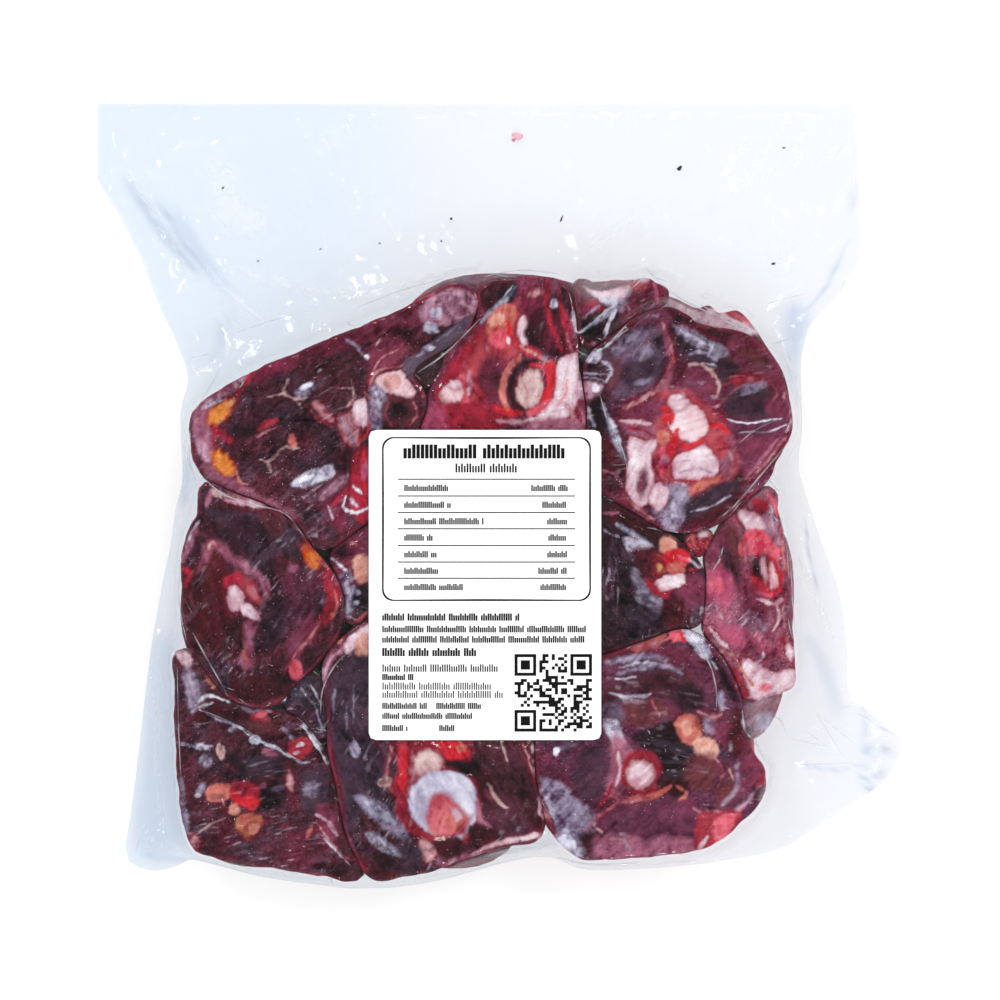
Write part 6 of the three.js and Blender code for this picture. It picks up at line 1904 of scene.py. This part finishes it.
def stampTree(ink):  # Geometry Nodes: one thin plate at each point, as wide and tall as the point says
    tree = bpy.data.node_groups.new("printed bars", "GeometryNodeTree")
    face = tree.interface
    face.new_socket("Points", in_out="INPUT", socket_type="NodeSocketGeometry")
    thickness = face.new_socket("Ink thickness", in_out="INPUT", socket_type="NodeSocketFloat")
    face.new_socket("Bars", in_out="OUTPUT", socket_type="NodeSocketGeometry")
    start = addNode(tree, "NodeGroupInput")
    wide = addNode(tree, "GeometryNodeInputNamedAttribute", {"Name": "wide"}, data_type="FLOAT")
    tall = addNode(tree, "GeometryNodeInputNamedAttribute", {"Name": "tall"}, data_type="FLOAT")
    size = addNode(tree, "ShaderNodeCombineXYZ", None, {
        "X": wide.outputs["Attribute"], "Y": tall.outputs["Attribute"], "Z": start.outputs["Ink thickness"]})
    plate = addNode(tree, "GeometryNodeMeshCube", {"Size": (1, 1, 1)})
    dots = addNode(tree, "GeometryNodeMeshToPoints", None, {"Mesh": start.outputs["Points"]})
    stamped = addNode(tree, "GeometryNodeInstanceOnPoints", None, {
        "Points": dots.outputs["Points"], "Instance": plate.outputs["Mesh"], "Scale": size.outputs["Vector"]})
    solid = addNode(tree, "GeometryNodeRealizeInstances", None, {"Geometry": stamped.outputs["Instances"]})
    inked = addNode(tree, "GeometryNodeSetMaterial", {"Material": ink},
                    {"Geometry": solid.outputs["Geometry"]})
    addNode(tree, "NodeGroupOutput", None, {"Bars": inked.outputs["Geometry"]})
    return tree, thickness.identifier


def makePrint():
    bars = np.array(typeBars() + codeBars())
    x, y, wide, tall = bars.T
    z = labelBed(x) + label["gap"] + label["thickness"] + printing["ink"] / 2 - 0.01
    ink = inkMaterial()
    mesh = bpy.data.meshes.new("label_print_points")
    mesh.from_pydata(((np.column_stack([x, y, z]) + shift) * mm).tolist(), [], [])
    for key, values in (("wide", wide), ("tall", tall)):
        mesh.attributes.new(key, "FLOAT", "POINT").data.foreach_set("value", values * mm)
    points = bpy.data.objects.new("label_print_points", mesh)
    bpy.context.collection.objects.link(points)
    tree, thicknessSocket = stampTree(ink)
    stamp = points.modifiers.new("printed bars", "NODES")
    stamp.node_group = tree
    stamp[thicknessSocket] = printing["ink"] * mm
    shown = points.evaluated_get(bpy.context.evaluated_depsgraph_get())
    bars = bpy.data.objects.new("label_print", bpy.data.meshes.new_from_object(shown))
    bpy.context.collection.objects.link(bars)
    bpy.data.objects.remove(points)
    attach(bars, "root")
    line = inkFrame
    outer = roundedRectangle(line["x"], line["y"], line["width"], line["length"], line["corner"], 10)
    outer = evenPoints(outer, 240, (line["x"], line["y"]), 0.0)
    toMiddle = outer - (line["x"], line["y"])
    inner = outer - toMiddle / np.linalg.norm(toMiddle, axis=1)[:, None] * printing["frameLine"]
    lift = label["gap"] + label["thickness"] - 0.01
    loops = [(outer, lift), (outer, lift + printing["ink"]), (inner, lift + printing["ink"]), (inner, lift)]
    points = np.concatenate([np.column_stack([at, labelBed(at[:, 0]) + up]) for at, up in loops])
    index = np.arange(4 * len(outer)).reshape(4, -1)
    faces = [band(index[(k + 1) % 4], index[k]) for k in range(4)]
    makePiece("label_print_frame", points, faces, ink)


meatMaterial = rawMeatMaterial()
for chop in chops:
    chopSlab(chop, meatMaterial)
print("chops made:", len(chops))
upperWall, lowerWall, outsideChops, meatTops = filmHeights()
vacuumFilm = filmMaterial()
makeFilm(upperWall, lowerWall, outsideChops, meatTops, vacuumFilm)
makeCreases(upperWall, outsideChops, vacuumFilm)
makeCrumbs(upperWall)
print("film drawn tight and creased")
makeLabel()
makePrint()
print("label printed")

# Floor, light and camera
studio = dict(
    floor="#b4b4b4", glow=0.56, floorSize=3.0, floorLevel=-0.0003,
    sky=1.05, horizon=0.4, zenith=0.04,
    viewWidth=0.4, viewHeight=1.6, lookAt=(0, -4, 43), sensor=36,
    lights=[  # place, size and power of each softbox
        dict(at=(-0.55, 0.6, 1.25), size=0.2, power=3),
        dict(at=(0.7, 0.4, 1.3), size=0.2, power=3),
        dict(at=(0.1, -0.85, 1.25), size=0.2, power=2.5),
    ],
)


def makeStudio():
    half = studio["floorSize"] / 2
    sides = ((-half, -half), (half, -half), (half, half), (-half, half))
    mesh = bpy.data.meshes.new("floor")
    mesh.from_pydata([(x, y, studio["floorLevel"]) for x, y in sides], [], [(0, 1, 2, 3)])
    floor = bpy.data.objects.new("floor", mesh)
    material, tree = newMaterial("milk glass of a light table")
    lit = addNode(tree, "ShaderNodeBsdfDiffuse", {"Color": colourValue(studio["floor"])})
    glow = addNode(tree, "ShaderNodeEmission", {"Strength": studio["glow"]})
    shader = addNode(tree, "ShaderNodeAddShader", None, {0: lit.outputs["BSDF"], 1: glow.outputs["Emission"]})
    mesh.materials.append(surface(material, shader, "Shader"))
    bpy.context.collection.objects.link(floor)
    for k, spec in enumerate(studio["lights"]):
        lamp = bpy.data.lights.new(f"softbox_{k}", "AREA")
        lamp.size, lamp.energy = spec["size"], spec["power"]
        box = bpy.data.objects.new(f"softbox_{k}", lamp)
        box.location = spec["at"]
        away = np.array(spec["at"])
        tilt, heading = math.acos(away[2] / np.linalg.norm(away)), math.atan2(away[1], away[0])
        box.rotation_euler = (tilt, 0, heading + math.pi / 2)  # it shines at the middle of the pouch
        bpy.context.collection.objects.link(box)
    world = bpy.data.worlds.new("pale room")
    world.use_nodes = True
    tree = world.node_tree
    tree.nodes.clear()
    where = addNode(tree, "ShaderNodeTexCoord")
    split = addNode(tree, "ShaderNodeSeparateXYZ", None, {"Vector": where.outputs["Generated"]})
    ends = {"From Min": 0.15, "From Max": 0.65, "To Min": studio["horizon"], "To Max": studio["zenith"]}
    mirrored = addNode(tree, "ShaderNodeMapRange", ends,
                       {"Value": split.outputs["Z"]})  # the film mirrors a dark ceiling and bright walls
    ray = addNode(tree, "ShaderNodeLightPath")
    level = addNode(tree, "ShaderNodeMix", {"A": studio["sky"]},
                    {"Factor": ray.outputs["Is Glossy Ray"], "B": mirrored.outputs["Result"]})
    air = addNode(tree, "ShaderNodeBackground", {"Color": (1, 1, 1, 1)},
                  {"Strength": level.outputs["Result"]})
    addNode(tree, "ShaderNodeOutputWorld", None, {"Surface": air.outputs["Background"]})
    bpy.context.scene.world = world
    camera = bpy.data.cameras.new("camera")
    camera.sensor_width = studio["sensor"]
    camera.lens = studio["sensor"] * studio["viewHeight"] / studio["viewWidth"]
    eye = bpy.data.objects.new("camera", camera)
    lookAt = (np.array(studio["lookAt"], float) + shift) * mm
    eye.location = (lookAt[0], lookAt[1], lookAt[2] + studio["viewHeight"])
    bpy.context.collection.objects.link(eye)
    bpy.context.scene.camera = eye
    bpy.context.scene.view_settings.view_transform = "Standard"  # the pouch's own colours, with no film curve


makeStudio()
print("studio lit")
